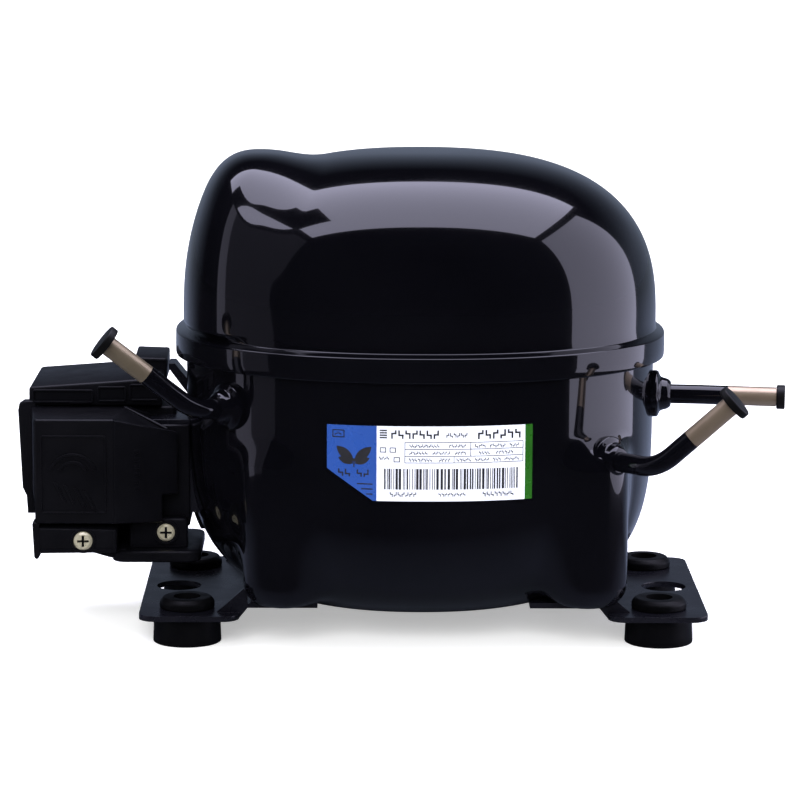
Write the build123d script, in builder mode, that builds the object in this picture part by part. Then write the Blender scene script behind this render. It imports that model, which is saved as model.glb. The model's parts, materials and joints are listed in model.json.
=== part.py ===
"""Hermetic reciprocating compressor with its sealed pump unit, terminal box and mounting feet.

Frame: +Z up, origin on the floor at the centre of the four-grommet mounting pattern.
+X runs along the shell away from the terminal box, and the nameplate faces -Y.
"""
import os
from math import asin, cos, pi, radians, sin

from build123d import *

os.makedirs("parts", exist_ok=True)

# ---------------------------------------------------------------- driving dimensions (mm)
MOUNT_X = 170.0            # grommet spacing along X
MOUNT_Y = 70.0             # grommet spacing along Y
GROMMET_BORE = 4.9         # radius for the mounting bolt
FOOT_HEIGHT = 10.3         # floor to the underside of the base plates
PLATE = 2.0                # base plate thickness

SHELL_X = -1.1             # shell centre
SHEET = 3.0                # pressed shell thickness
PLAN_POWER = 2.2           # exponent of the oval plan
BOWL_HALF = (85.1, 71.1)   # lower shell, outer half lengths
BOWL_FLOOR = 8.0
BOWL_WAIST = 80.0          # above this the bowl wall is upright
BOWL_TOP = 107.5
BOWL_POWER = 3.2
DOME_HALF = (85.4, 71.5)   # upper shell, outer half lengths
DOME_BASE = 113.0
DOME_TOP = 174.0
DOME_POWER = 2.6
SKIRT_HALF = (89.0, 75.0)  # band of the upper shell that laps over the bowl
SKIRT_SHEET = 3.5          # the skirt clears the bowl by a narrow gap
SKIRT_BOTTOM = 100.5
SKIRT_TOP = 109.5
HUMP_X = -57.0             # raised end of the upper shell, over the cylinder head
HUMP_HALF = (29.5, 48.0)
HUMP_TOP = 173.6

SHAFT_X = 4.0              # crankshaft axis
LOBE = (54.0, 46.0)        # spring pockets, measured from the crankshaft axis
LOBE_RADIUS = 14.5
LOBE_FLOOR = 16.0
LOBE_TOP = 72.0
SPRING = (52.0, 44.0)      # suspension springs, measured from the crankshaft axis
SPRING_FOOT = 21.0
SPRING_HEAD = 35.0

STACK = (38.0, 66.0)       # stator and rotor laminations, bottom and top
STATOR_CORNER = (50.0, 42.0)
STATOR_RIM = 8.0           # the laminations reach this far past the corner screws
SLOT_CIRCLE = 38.5
SLOTS = 24
ROTOR_RADIUS = 30.0
AIR_GAP = 0.4
BAR_CIRCLE = 26.0
BARS = 18
BAR_RADIUS = 1.8

CYLINDER_Z = 122.0         # height of the cylinder axis
BORE = 13.0                # cylinder radius
RUNNING = 0.05             # radial running clearance
STROKE_HALF = 8.0          # crank throw
ROD_LENGTH = 36.0
CRANK_REST = radians(60.0)  # crank angle at rest, from the cylinder head side
CRANKPIN = 7.0
JOURNAL = 8.0
BLOCK_FACE = -50.0         # x of the face that the valve plate closes
PLATE_Z = (92.0, 104.0)    # crankcase plate

TUBE = 3.5                 # connector tube outer radius
TUBE_BORE = 2.7
SNUG = 0.05                # gap where a pressed piece follows the shell
LOOSE = 0.3                # gap where a moulded or sprung piece passes the shell

# crank and rod at rest
PIN_AT = (SHAFT_X - STROKE_HALF * cos(CRANK_REST), STROKE_HALF * sin(CRANK_REST))
ROD_TILT = asin(PIN_AT[1] / ROD_LENGTH)
WRIST_X = PIN_AT[0] - ROD_LENGTH * cos(ROD_TILT)


def save(part, label):
    """Label one finished piece and write it as its own STEP file."""
    part.label = label
    export_step(part, f"parts/{label}.step")


def oval_points(half_x, half_y, power=PLAN_POWER, count=40):
    """Points evenly spaced in angle around a superellipse."""
    points = []
    for step in range(count):
        angle = 2 * pi * (step + 0.5) / count
        reach_x = abs(cos(angle)) ** (2 / power) * (1 if cos(angle) > 0 else -1)
        reach_y = abs(sin(angle)) ** (2 / power) * (1 if sin(angle) > 0 else -1)
        points.append((half_x * reach_x, half_y * reach_y))
    return points


def oval_stack(levels, centre_x):
    """Smooth closed body through ovals, each given as (z, half x, half y)."""
    with BuildPart() as body:
        for z, half_x, half_y in levels:
            with BuildSketch(Plane.XY.offset(z)):
                with BuildLine():
                    Spline(*[(x + centre_x, y) for x, y in oval_points(half_x, half_y)], periodic=True)
                make_face()
        loft()
    return body.part


def oval_prism(half, bottom, top, centre_x=SHELL_X):
    """Upright oval block."""
    with BuildPart() as body:
        with BuildSketch(Plane.XY.offset(bottom)):
            with BuildLine():
                Spline(*[(x + centre_x, y) for x, y in oval_points(*half)], periodic=True)
            make_face()
        extrude(amount=top - bottom)
    return body.part


def rise_levels(half, base, top, power, cut=0.16, count=9):
    """Ovals of a dome that rises from base to top; the last one is cut times the base oval."""
    highest = (1 - cut ** power) ** (1 / power)
    levels = []
    for step in range(count):
        rise = sin(asin(highest) * step / (count - 1))
        spread = (1 - rise ** power) ** (1 / power)
        levels.append((base + (top - base) * rise, half[0] * spread, half[1] * spread))
    return levels


def turned(profile, origin, direction, radial=(0, 0, 1)):
    """Body of revolution: profile is (radius, height) pairs along direction from origin."""
    axis = Vector(*direction).normalized()
    out = Vector(*radial)
    out = (out - axis * out.dot(axis)).normalized()
    plane = Plane(origin=origin, x_dir=out, z_dir=out.cross(axis))
    with BuildPart() as body:
        with BuildSketch(plane):
            with BuildLine():
                Polyline(*profile, close=True)
            make_face()
        revolve(axis=Axis(origin, tuple(axis)))
    return body.part


def block(low, high, radius=0.0):
    """Box between two corners, with its upright edges rounded."""
    with BuildPart() as body:
        with BuildSketch(Plane.XY.offset(low[2])):
            with Locations(((low[0] + high[0]) / 2, (low[1] + high[1]) / 2)):
                if radius:
                    RectangleRounded(high[0] - low[0], high[1] - low[1], radius)
                else:
                    Rectangle(high[0] - low[0], high[1] - low[1])
        extrude(amount=high[2] - low[2])
    return body.part


def prism_z(outline, bottom, top):
    """Upright prism over an outline in plan."""
    with BuildPart() as body:
        with BuildSketch(Plane.XY.offset(bottom)):
            with BuildLine():
                Polyline(*outline, close=True)
            make_face()
        extrude(amount=top - bottom)
    return body.part


def four_corners(spacing, centre_x=SHAFT_X):
    """Centres of a four-place rectangle, half spacings given."""
    return [(centre_x + sx * spacing[0], sy * spacing[1]) for sx in (-1, 1) for sy in (-1, 1)]


def shrink(half, by):
    """Half lengths of an oval that lies a little inside another."""
    return (half[0] - by, half[1] - by)


# ---------------------------------------------------------------- lower shell
def bowl_body(inset):
    """Bowl with upright walls, offset inwards by inset."""
    half = shrink(BOWL_HALF, inset)
    depth = BOWL_WAIST - BOWL_FLOOR - inset
    levels = []
    for z, half_x, half_y in rise_levels(half, 0.0, depth, BOWL_POWER, cut=0.3, count=8):
        levels.append((BOWL_WAIST - z, half_x, half_y))
    return oval_stack(levels[::-1], SHELL_X)


def lobe_profile(inset):
    """Half section of one spring pocket, offset inwards by inset."""
    radius = LOBE_RADIUS - inset
    floor = LOBE_FLOOR + inset
    corner = 8.0 - inset
    rounded = [
        (radius - corner * (1 - cos(a)), floor + corner * (1 - sin(a)))
        for a in [radians(d) for d in (90, 70, 50, 30, 0)]
    ]
    return [(0, floor)] + rounded + [(radius, LOBE_TOP - 8 - inset), (0, LOBE_TOP + 4 - inset)]


with BuildPart() as lower_shell:
    add(bowl_body(0))
    add(oval_prism(BOWL_HALF, BOWL_WAIST, BOWL_TOP))
    for place in four_corners(LOBE):
        add(turned(lobe_profile(0), (*place, 0), (0, 0, 1), (1, 0, 0)))
    add(bowl_body(SHEET), mode=Mode.SUBTRACT)
    add(oval_prism(shrink(BOWL_HALF, SHEET), BOWL_WAIST, BOWL_TOP), mode=Mode.SUBTRACT)
    for place in four_corners(LOBE):
        add(turned(lobe_profile(SHEET), (*place, 0), (0, 0, 1), (1, 0, 0)), mode=Mode.SUBTRACT)
    # window for the electric terminal in the left end
    with BuildSketch(Plane(origin=(-70, 0, 60), x_dir=(0, 1, 0), z_dir=(-1, 0, 0))):
        Circle(16.0)
    extrude(amount=30, mode=Mode.SUBTRACT)

# ---------------------------------------------------------------- connector tubes
# each: where its collar sits on the shell, outward direction, length inside the shell, length up to
# the bend, bend radius, free end, and radius of the cap on it
CONNECTORS = {
    "discharge": ((-68.5, -46.0, 87.6), (-0.76, -0.65, 0), 10, 16.5, 14, (-111.0, -60.0, 111.4), 6.3),
    "suction": ((82.5, -13.0, 87.0), (0.99, -0.12, 0), 5, 17.5, 6, (127.6, -18.4, 86.7), 4.4),
    "process": ((63.6, -51.0, 69.8), (0.69, -0.72, 0), 5, 24.5, 14, (105.5, -73.0, 93.0), 6.3),
}
COLLAR = [(TUBE, -4), (7.0, -4), (8.5, 0.6), (8.5, 2.6), (6.2, 3.6), (5.4, 6.4), (4.4, 7.4), (TUBE, 7.4)]

for name, (seat, outward, inside, straight, bend, free_end, cap_radius) in CONNECTORS.items():
    seat_at = Vector(*seat)
    out = Vector(*outward).normalized()
    with BuildPart() as collar:
        add(turned(COLLAR, seat, tuple(out)))
    save(collar.part, f"{name}_collar")

    # the shell is pierced for the collar's spigot
    with BuildPart() as pierce:
        with BuildSketch(Plane(origin=tuple(seat_at - out * 12), z_dir=tuple(out))):
            Circle(8.6)
        extrude(amount=24)
    lower_shell.part = lower_shell.part - pierce.part

    with BuildPart() as tube:
        with BuildLine() as route:
            FilletPolyline(tuple(seat_at - out * inside), tuple(seat_at + out * straight), free_end, radius=bend)
        for radius, mode in ((TUBE, Mode.ADD), (TUBE_BORE, Mode.SUBTRACT)):
            with BuildSketch(Plane(origin=route.line @ 0, z_dir=route.line % 0)):
                Circle(radius)
            sweep(path=route.line, mode=mode)
    save(tube.part, f"{name}_tube")

    with BuildPart() as cap:
        along = route.line % 1
        lip = 2.8 if name != "suction" else 3.2
        add(turned([(0, -9), (TUBE_BORE - RUNNING, -9), (TUBE_BORE - RUNNING, 0.05), (cap_radius, 0.05),
                    (cap_radius, lip - 0.5), (cap_radius - 0.5, lip), (0, lip)],
                   tuple(route.line @ 1), tuple(along)))
    save(cap.part, f"{name}_cap")

save(lower_shell.part, "lower_shell")

# ---------------------------------------------------------------- upper shell
def dome_body(inset):
    """Dome of the upper shell with its raised end, offset inwards by inset."""
    with BuildPart() as body:
        half = shrink(DOME_HALF, inset)
        hump = shrink(HUMP_HALF, inset)
        add(oval_stack(rise_levels(half, DOME_BASE, DOME_TOP - inset, DOME_POWER), SHELL_X))
        add(oval_stack(rise_levels(hump, DOME_BASE, HUMP_TOP - inset, DOME_POWER), HUMP_X))
    return body.part


with BuildPart() as upper_shell:
    add(oval_prism(SKIRT_HALF, SKIRT_BOTTOM, SKIRT_TOP))
    # rounded shoulder between the skirt and the dome
    for z, half_x, half_y in ((SKIRT_TOP, *SKIRT_HALF), (110.6, 88.0, 74.1), (112.9, 85.1, 71.2)):
        with BuildSketch(Plane.XY.offset(z)):
            with BuildLine():
                Spline(*[(x + SHELL_X, y) for x, y in oval_points(half_x, half_y)], periodic=True)
            make_face()
    loft(ruled=True)
    add(oval_prism(DOME_HALF, SKIRT_BOTTOM + 2, DOME_BASE))
    add(dome_body(0))
    add(oval_prism(shrink(SKIRT_HALF, SKIRT_SHEET), SKIRT_BOTTOM - 1, BOWL_TOP + 0.3), mode=Mode.SUBTRACT)
    add(oval_prism(shrink(DOME_HALF, SHEET), BOWL_TOP - 1, DOME_BASE), mode=Mode.SUBTRACT)
    add(dome_body(SHEET), mode=Mode.SUBTRACT)
save(upper_shell.part, "upper_shell")

# ---------------------------------------------------------------- nameplate label
LABEL_BOTTOM = 58.4
LABEL_TOP = 85.0
LABEL_ENDS = (-34.5, 37.2)
LABEL_CUT = (-18.5, 70.0)  # the lower left corner is cut off from this x to this z
LABEL_LIFT = 0.3
with BuildPart() as label:
    add(bowl_body(-LABEL_LIFT))
    add(oval_prism(shrink(BOWL_HALF, -LABEL_LIFT), BOWL_WAIST, LABEL_TOP))
    with BuildSketch(Plane.XZ.offset(60)):
        with BuildLine():
            Polyline((LABEL_ENDS[0], LABEL_TOP), (LABEL_ENDS[0], LABEL_CUT[1]), (LABEL_CUT[0], LABEL_BOTTOM),
                     (LABEL_ENDS[1], LABEL_BOTTOM), (LABEL_ENDS[1], LABEL_TOP), close=True)
        make_face()
    extrude(amount=20, mode=Mode.INTERSECT)
    add(bowl_body(-SNUG), mode=Mode.SUBTRACT)
    add(oval_prism(shrink(BOWL_HALF, -SNUG), BOWL_WAIST, LABEL_TOP + 1), mode=Mode.SUBTRACT)
save(label.part, "label")

# ---------------------------------------------------------------- base plates and grommets
PLATE_EDGE = 101.8         # outer edge of each base plate
PLATE_HALF_WIDTH = 50.6
PLATE_CORNER = 6.0
STEP_X = 66.0              # here each plate steps up to meet the spring pockets
TONGUE_HALF = 44.0
TONGUE_END = 38.0          # the raised tongue reaches this far in
BELLY_SLOT = (48.0, 44.0)  # clearance slot under the bowl, length and width
EDGE_START = 74.0          # the upturned edges rise from here
EDGE_RISE = 10.0
GROMMET_HOLE = 7.0
LOCATING_X = 89.6          # larger hole between the grommets
LOCATING_HOLE = 8.15

for side, name in ((-1, "left"), (1, "right")):
    with BuildPart() as plate:
        low_x = side * STEP_X
        with BuildSketch(Plane.XY.offset(FOOT_HEIGHT)):
            with Locations((side * (STEP_X + PLATE_EDGE) / 2, 0)):
                RectangleRounded(PLATE_EDGE - STEP_X, 2 * PLATE_HALF_WIDTH, PLATE_CORNER)
            with Locations((side * (STEP_X + 5), 0)):
                Rectangle(10, 2 * TONGUE_HALF)
        extrude(amount=PLATE)
        # the ramp and the raised tongue that is welded under two spring pockets
        with BuildSketch(Plane.XZ.offset(-TONGUE_HALF)):
            with BuildLine():
                rise = LOBE_FLOOR - FOOT_HEIGHT - PLATE
                Polyline((low_x, FOOT_HEIGHT), (low_x, FOOT_HEIGHT + PLATE),
                         (low_x - side * 4, LOBE_FLOOR), (side * TONGUE_END, LOBE_FLOOR),
                         (side * TONGUE_END, LOBE_FLOOR - PLATE), (low_x - side * 3, FOOT_HEIGHT + rise),
                         close=True)
            make_face()
        extrude(amount=2 * TONGUE_HALF)
        # clearance under the bowl between the two pockets
        with BuildSketch(Plane.XY.offset(FOOT_HEIGHT - 1)):
            with Locations((side * TONGUE_END, 0)):
                SlotOverall(*BELLY_SLOT)
        extrude(amount=10, mode=Mode.SUBTRACT)
        for y in (-MOUNT_Y / 2, MOUNT_Y / 2):
            with Locations(Location((side * MOUNT_X / 2, y, FOOT_HEIGHT + PLATE))):
                Hole(GROMMET_HOLE)
        with Locations(Location((side * LOCATING_X, 0, FOOT_HEIGHT + PLATE))):
            Hole(LOCATING_HOLE)
        # upturned side edges of the tongue stiffen it beside the shell
        for y_side in (-1, 1):
            with BuildSketch(Plane.XZ.offset(y_side * TONGUE_HALF)):
                with BuildLine():
                    Polyline((side * EDGE_START, FOOT_HEIGHT + PLATE),
                             (low_x - side * 3, FOOT_HEIGHT + PLATE + EDGE_RISE),
                             (low_x - side * 3, LOBE_FLOOR - PLATE), (low_x, FOOT_HEIGHT), close=True)
                make_face()
            extrude(amount=-y_side * PLATE)
        # the tongue is pressed to the shape of the shell
        add(bowl_body(-2 * SNUG), mode=Mode.SUBTRACT)
        for place in four_corners(LOBE):
            add(turned(lobe_profile(-SNUG), (*place, 0), (0, 0, 1), (1, 0, 0)), mode=Mode.SUBTRACT)
    save(plate.part.solids().sort_by(SortBy.VOLUME)[-1], f"base_plate_{name}")

GROMMET_NECK = GROMMET_HOLE - SNUG
GROMMET = [(GROMMET_BORE, 0), (12.34, 0), (12.0, FOOT_HEIGHT), (GROMMET_NECK, FOOT_HEIGHT),
           (GROMMET_NECK, FOOT_HEIGHT + PLATE), (9.9, FOOT_HEIGHT + PLATE), (9.9, 14.9), (8.6, 16.3),
           (GROMMET_BORE, 16.3)]
for sx, end in ((-1, "left"), (1, "right")):
    for sy, face in ((-1, "front"), (1, "rear")):
        with BuildPart() as grommet:
            add(turned(GROMMET, (sx * MOUNT_X / 2, sy * MOUNT_Y / 2, 0), (0, 0, 1), (1, 0, 0)))
        save(grommet.part, f"grommet_{face}_{end}")

# ---------------------------------------------------------------- electric terminal in the shell end
TERMINAL_Z = 60.0
OUT_LEFT = (-1, 0, 0)
TERMINAL_X = -80.0
PIN_CIRCLE = 6.5           # the three pins stand on this radius
PIN_RADIUS = 1.15
GLASS_RADIUS = 2.4
SOCKET_RADIUS = 1.2


def facing_left(x, z=TERMINAL_Z):
    """Upright plane at x that faces away from the shell, with its own Y upwards."""
    return Plane(origin=(x, 0, z), x_dir=(0, -1, 0), z_dir=OUT_LEFT)


with BuildPart() as terminal_body:
    add(turned([(0, 0), (12, 0), (12, 4), (15.0, 8), (15.0, 9.5), (0, 9.5)],
               (TERMINAL_X + 4, 0, TERMINAL_Z), OUT_LEFT))
    with BuildSketch(facing_left(TERMINAL_X - 10)):
        with PolarLocations(PIN_CIRCLE, 3, start_angle=90):
            Circle(GLASS_RADIUS)
    extrude(amount=-20, mode=Mode.SUBTRACT)
save(terminal_body.part, "terminal_body")

with BuildPart() as terminal_glass:
    with BuildSketch(facing_left(TERMINAL_X + 4)):
        with PolarLocations(PIN_CIRCLE, 3, start_angle=90):
            Circle(GLASS_RADIUS)
            Circle(PIN_RADIUS, mode=Mode.SUBTRACT)
    extrude(amount=9.5)
save(terminal_glass.part, "terminal_glass")

with BuildPart() as terminal_pins:
    with BuildSketch(facing_left(TERMINAL_X + 12)):
        with PolarLocations(PIN_CIRCLE, 3, start_angle=90):
            Circle(PIN_RADIUS)
    extrude(amount=32)
save(terminal_pins.part, "terminal_pins")

# ---------------------------------------------------------------- terminal bracket and box
BOX_FRONT = -38.0
BOX_BACK = 34.0
BOX_LEFT = -145.0
BOX_TOP = 81.0
BOX_BOTTOM = 31.0
WALL = 2.2
COVER_BACK = -6.0
BRACKET_X = (-99.0, -78.0)
BRACKET_HALF = 17.5
BRACKET_Z = (43.4, 77.6)
BRACKET_SHEET = 1.4
EARTH_AT = (-95.6, 60.0)   # earth screw in the rear wall of the bracket, x and z
STRAP_BACK = 17.0
STRAP_WIDTH = 12.0
STRAP = [(-78, 77), (-78, 84), (-82.5, 84), (-91.0, 94.5), (-93.2, 94.5), (-93.2, 92.6), (-85, 81.5), (-85, 77)]

with BuildPart() as terminal_bracket:
    for z in (BRACKET_Z[0], BRACKET_Z[1] - BRACKET_SHEET):
        add(block((BRACKET_X[0], -BRACKET_HALF, z), (BRACKET_X[1], BRACKET_HALF, z + BRACKET_SHEET)))
    for y in (-BRACKET_HALF, BRACKET_HALF - BRACKET_SHEET):
        add(block((BRACKET_X[0], y, BRACKET_Z[0]), (BRACKET_X[1], y + BRACKET_SHEET, BRACKET_Z[1])))
    with BuildSketch(Plane.XZ.offset(-BRACKET_HALF - 0.5)):
        with Locations(EARTH_AT):
            Circle(1.6)
    extrude(amount=4, mode=Mode.SUBTRACT)
    # sloped strap from the shell up over the box
    with BuildSketch(Plane.XZ.offset(-STRAP_BACK)):
        with BuildLine():
            Polyline(*STRAP, close=True)
        make_face()
    extrude(amount=STRAP_WIDTH)
    add(bowl_body(-SNUG), mode=Mode.SUBTRACT)
    add(oval_prism(shrink(BOWL_HALF, -SNUG), BOWL_WAIST, BOWL_TOP), mode=Mode.SUBTRACT)
save(terminal_bracket.part.solids().sort_by(SortBy.VOLUME)[-1], "terminal_bracket")


def cover_outline(inset):
    """Plan of the terminal cover: a flat front, then an angled face back towards the shell."""
    return [(BOX_LEFT + 2.5 + inset, COVER_BACK), (BOX_LEFT + 2.5 + inset, BOX_FRONT + 1.5 + inset),
            (BOX_LEFT + 4 + inset, BOX_FRONT + inset), (-111 - inset * 0.3, BOX_FRONT + inset),
            (-91.5 - inset, -24 + inset * 0.5), (-91.5 - inset, COVER_BACK)]


COVER_LEDGE = 43.0         # the screw strip lies below this height
PANEL = (25.0, 27.0, 1.2)  # shallow panel in the front face: width, height, corner
COVER_SCREWS = ((-122, BOX_FRONT + 1, 37), (-93, -24, 37.5))
SCREW_HOLE = 1.7
with BuildPart() as terminal_cover:
    add(prism_z(cover_outline(0), COVER_LEDGE, BOX_TOP))
    add(prism_z([(-140, COVER_BACK), (-140, BOX_FRONT + 1), (-109, BOX_FRONT + 1), (-88.5, -27),
                 (-88.5, COVER_BACK)], BOX_BOTTOM + 1, COVER_LEDGE))
    add(prism_z(cover_outline(WALL), COVER_LEDGE - 5, BOX_TOP - WALL), mode=Mode.SUBTRACT)
    add(prism_z([(-137.8, COVER_BACK), (-137.8, BOX_FRONT + 3.2), (-109, BOX_FRONT + 3.2), (-90.7, -25.5),
                 (-90.7, COVER_BACK)], BOX_BOTTOM + 3, COVER_LEDGE - 2), mode=Mode.SUBTRACT)
    # shallow panel moulded into the front face
    with BuildSketch(Plane(origin=(-126, BOX_FRONT, 61), x_dir=(1, 0, 0), z_dir=(0, -1, 0))):
        RectangleRounded(*PANEL)
    extrude(amount=-0.7, mode=Mode.SUBTRACT)
    # rear flange that overlaps the base, and the lip below it
    add(block((BOX_LEFT - 3, COVER_BACK - 8, 57), (BOX_LEFT + 2.5, COVER_BACK, 87)))
    add(block((BOX_LEFT + 3.5, BOX_FRONT + 1, BOX_BOTTOM - 2.5), (BOX_LEFT + 7.5, COVER_BACK, BOX_BOTTOM + 3)))
    # room for the bracket and the pins on the side towards the shell
    add(block((-97, -18, 42), (-87, COVER_BACK + 1, 79)), mode=Mode.SUBTRACT)
    # bosses for the two cover screws
    for x, y, z in COVER_SCREWS:
        with BuildSketch(Plane(origin=(x, y, z), x_dir=(1, 0, 0), z_dir=(0, -1, 0))):
            Circle(4.6)
        extrude(amount=-12)
        with BuildSketch(Plane(origin=(x, y - 6, z), x_dir=(1, 0, 0), z_dir=(0, -1, 0))):
            Circle(SCREW_HOLE)
        extrude(amount=-30, mode=Mode.SUBTRACT)
        with BuildSketch(Plane(origin=(x, y - 6, z), x_dir=(1, 0, 0), z_dir=(0, -1, 0))):
            Circle(3.7)
        extrude(amount=-6.6, mode=Mode.SUBTRACT)
save(terminal_cover.part.solids().sort_by(SortBy.VOLUME)[-1], "terminal_cover")

SCREW = [(0, 0), (1.65, 0), (1.65, 14), (3.4, 14), (3.4, 15.4), (2.4, 16.4), (0, 16.4)]
with BuildPart() as cover_screws:
    for x, y, z in COVER_SCREWS:
        add(turned(SCREW, (x, y + 14.6, z), (0, -1, 0)))
        for size in ((4.2, 0.9), (0.9, 4.2)):
            with BuildSketch(Plane(origin=(x, y - 1.9, z), x_dir=(1, 0, 0), z_dir=(0, -1, 0))):
                Rectangle(*size)
            extrude(amount=-1.5, mode=Mode.SUBTRACT)
save(cover_screws.part, "cover_screws")

with BuildPart() as terminal_box:
    add(block((-142, COVER_BACK + 0.1, BOX_BOTTOM), (-90, BOX_BACK, BOX_TOP - 0.5), 3.0))
    add(block((-142 + WALL, COVER_BACK - 1, BOX_BOTTOM + WALL), (-90 - WALL, BOX_BACK - WALL, BOX_TOP - WALL), 1.5),
        mode=Mode.SUBTRACT)
    # open side towards the shell, where the bracket and the terminal pins enter
    add(block((-95, -17.8, 38.7), (-88, 17.8, 81)), mode=Mode.SUBTRACT)
    # rounded pad that runs forward under the cover
    add(block((-112.5, -32, BOX_BOTTOM - 3.3), (-80, 10, BOX_BOTTOM + 0.9), 5.0))
    add(bowl_body(-LOOSE), mode=Mode.SUBTRACT)
    for x, y, z in COVER_SCREWS:
        add(block((x - 3, COVER_BACK + 0.1, 34.2), (x + 3, COVER_BACK + 8, 40.2)))
        with BuildSketch(Plane.XZ.offset(-COVER_BACK - 10)):
            with Locations((x, z)):
                Circle(SCREW_HOLE)
        extrude(amount=20, mode=Mode.SUBTRACT)
save(terminal_box.part.solids().sort_by(SortBy.VOLUME)[-1], "terminal_box")

with BuildPart() as terminal_block:
    add(block((-139, -10, BOX_TOP + 0.1), (-94.5, 30, 91), 2.0))
    add(block((-104, 4, 90.5), (-94.5, 28, 95.5), 1.0))
    for x in (-118, -107):
        add(block((x, -10.8, BOX_TOP + 1), (x + 1.6, -9, 90)))
    # cable entry channel through the back
    with BuildSketch(Plane.XZ.offset(-32)):
        with Locations((-125, 86)):
            RectangleRounded(14, 6, 2)
    extrude(amount=24, mode=Mode.SUBTRACT)
save(terminal_block.part, "terminal_block")

with BuildPart() as start_relay:
    add(block((-118, -15, 46), (-97.5, 15, 75), 2.0))
    with BuildSketch(facing_left(-97)):
        with PolarLocations(PIN_CIRCLE, 3, start_angle=90):
            Circle(SOCKET_RADIUS)
    extrude(amount=18, mode=Mode.SUBTRACT)
save(start_relay.part, "start_relay")

with BuildPart() as overload_protector:
    add(turned([(0, 0), (11, 0), (11, 9), (9, 11), (0, 11)], (-131, 0, 60), (1, 0, 0)))
save(overload_protector.part, "overload_protector")

CLIP_SHEET = 1.2
CLIP_HALF = 4.0
CLIP_BOTTOM = 34.5
with BuildPart() as retaining_clip:
    # hook that hugs the shell below the bracket, then the strip that runs into the box
    add(bowl_body(-LOOSE - CLIP_SHEET))
    add(block((-90, -CLIP_HALF, CLIP_BOTTOM), (-70, CLIP_HALF, BRACKET_Z[0])), mode=Mode.INTERSECT)
    add(block((-104, -CLIP_HALF, BRACKET_Z[0] - CLIP_SHEET), (-80, CLIP_HALF, BRACKET_Z[0])))
    add(bowl_body(-LOOSE), mode=Mode.SUBTRACT)
save(retaining_clip.part.solids().sort_by(SortBy.VOLUME)[-1], "retaining_clip")

with BuildPart() as earth_screw:
    add(turned([(0, 0), (1.55, 0), (1.55, 2.0), (3.0, 2.0), (3.0, 4.0), (2.4, 4.6), (0, 4.6)],
               (EARTH_AT[0], BRACKET_HALF - 1.9, EARTH_AT[1]), (0, 1, 0)))
    with BuildSketch(Plane.XZ.offset(-21)):
        with Locations(EARTH_AT):
            Rectangle(0.9, 7)
    extrude(amount=1.8, mode=Mode.SUBTRACT)
save(earth_screw.part, "earth_screw")

# ---------------------------------------------------------------- inside: motor
with BuildPart() as stator_core:
    with BuildSketch(Plane.XY.offset(STACK[0])):
        with Locations((SHAFT_X, 0)):
            RectangleRounded(2 * (STATOR_CORNER[0] + STATOR_RIM), 2 * (STATOR_CORNER[1] + STATOR_RIM), STATOR_RIM)
            Circle(ROTOR_RADIUS + AIR_GAP, mode=Mode.SUBTRACT)
            with PolarLocations(SLOT_CIRCLE, SLOTS):
                SlotOverall(12.5, 4.4, mode=Mode.SUBTRACT)
        with Locations(*four_corners(STATOR_CORNER)):
            Circle(2.6, mode=Mode.SUBTRACT)
    extrude(amount=STACK[1] - STACK[0])
save(stator_core.part, "stator_core")

with BuildPart() as stator_winding:
    with BuildSketch(Plane.XY.offset(STACK[0] - 1)):
        with Locations((SHAFT_X, 0)):
            with PolarLocations(SLOT_CIRCLE, SLOTS):
                SlotOverall(12.1, 4.0)
    extrude(amount=STACK[1] - STACK[0] + 2)
    for z, direction in ((STACK[1] + 1, 1), (STACK[0] - 1, -1)):
        add(turned([(33, 0), (44.5, 0), (46, 2), (45.5, 11), (42, 14), (36, 14), (33, 11)],
                   (SHAFT_X, 0, z), (0, 0, direction), (1, 0, 0)))
save(stator_winding.part, "stator_winding")

with BuildPart() as rotor_core:
    with BuildSketch(Plane.XY.offset(STACK[0])):
        with Locations((SHAFT_X, 0)):
            Circle(ROTOR_RADIUS)
            Circle(JOURNAL, mode=Mode.SUBTRACT)
            with PolarLocations(BAR_CIRCLE, BARS):
                Circle(BAR_RADIUS, mode=Mode.SUBTRACT)
    extrude(amount=STACK[1] - STACK[0])
save(rotor_core.part, "rotor_core")

with BuildPart() as rotor_cage:
    with BuildSketch(Plane.XY.offset(STACK[0])):
        with Locations((SHAFT_X, 0)):
            with PolarLocations(BAR_CIRCLE, BARS):
                Circle(BAR_RADIUS)
    extrude(amount=STACK[1] - STACK[0])
    for z, direction in ((STACK[1], 1), (STACK[0], -1)):
        add(turned([(19, 0), (29.4, 0), (29.4, 4.5), (28.4, 5.5), (19, 5.5)], (SHAFT_X, 0, z),
                   (0, 0, direction), (1, 0, 0)))
save(rotor_cage.part, "rotor_cage")

# ---------------------------------------------------------------- inside: crank and piston
WEB = (105.6, 113.0)
ROD_HALF = 6.0
with BuildPart() as crankshaft:
    add(turned([(3, 34), (JOURNAL, 34), (JOURNAL, WEB[0]), (0, WEB[0]), (0, 60), (3, 58)], (SHAFT_X, 0, 0),
               (0, 0, 1), (1, 0, 0)))
    with BuildSketch(Plane.XY.offset(WEB[0])):
        with Locations((SHAFT_X, 0)):
            Circle(13.0)
        with Locations(PIN_AT):
            Circle(10.5)
    extrude(amount=WEB[1] - WEB[0])
    with BuildSketch(Plane.XY.offset(WEB[1])):
        with Locations(PIN_AT):
            Circle(CRANKPIN)
            Circle(2.0, mode=Mode.SUBTRACT)
    extrude(amount=17)
save(crankshaft.part, "crankshaft")

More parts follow.
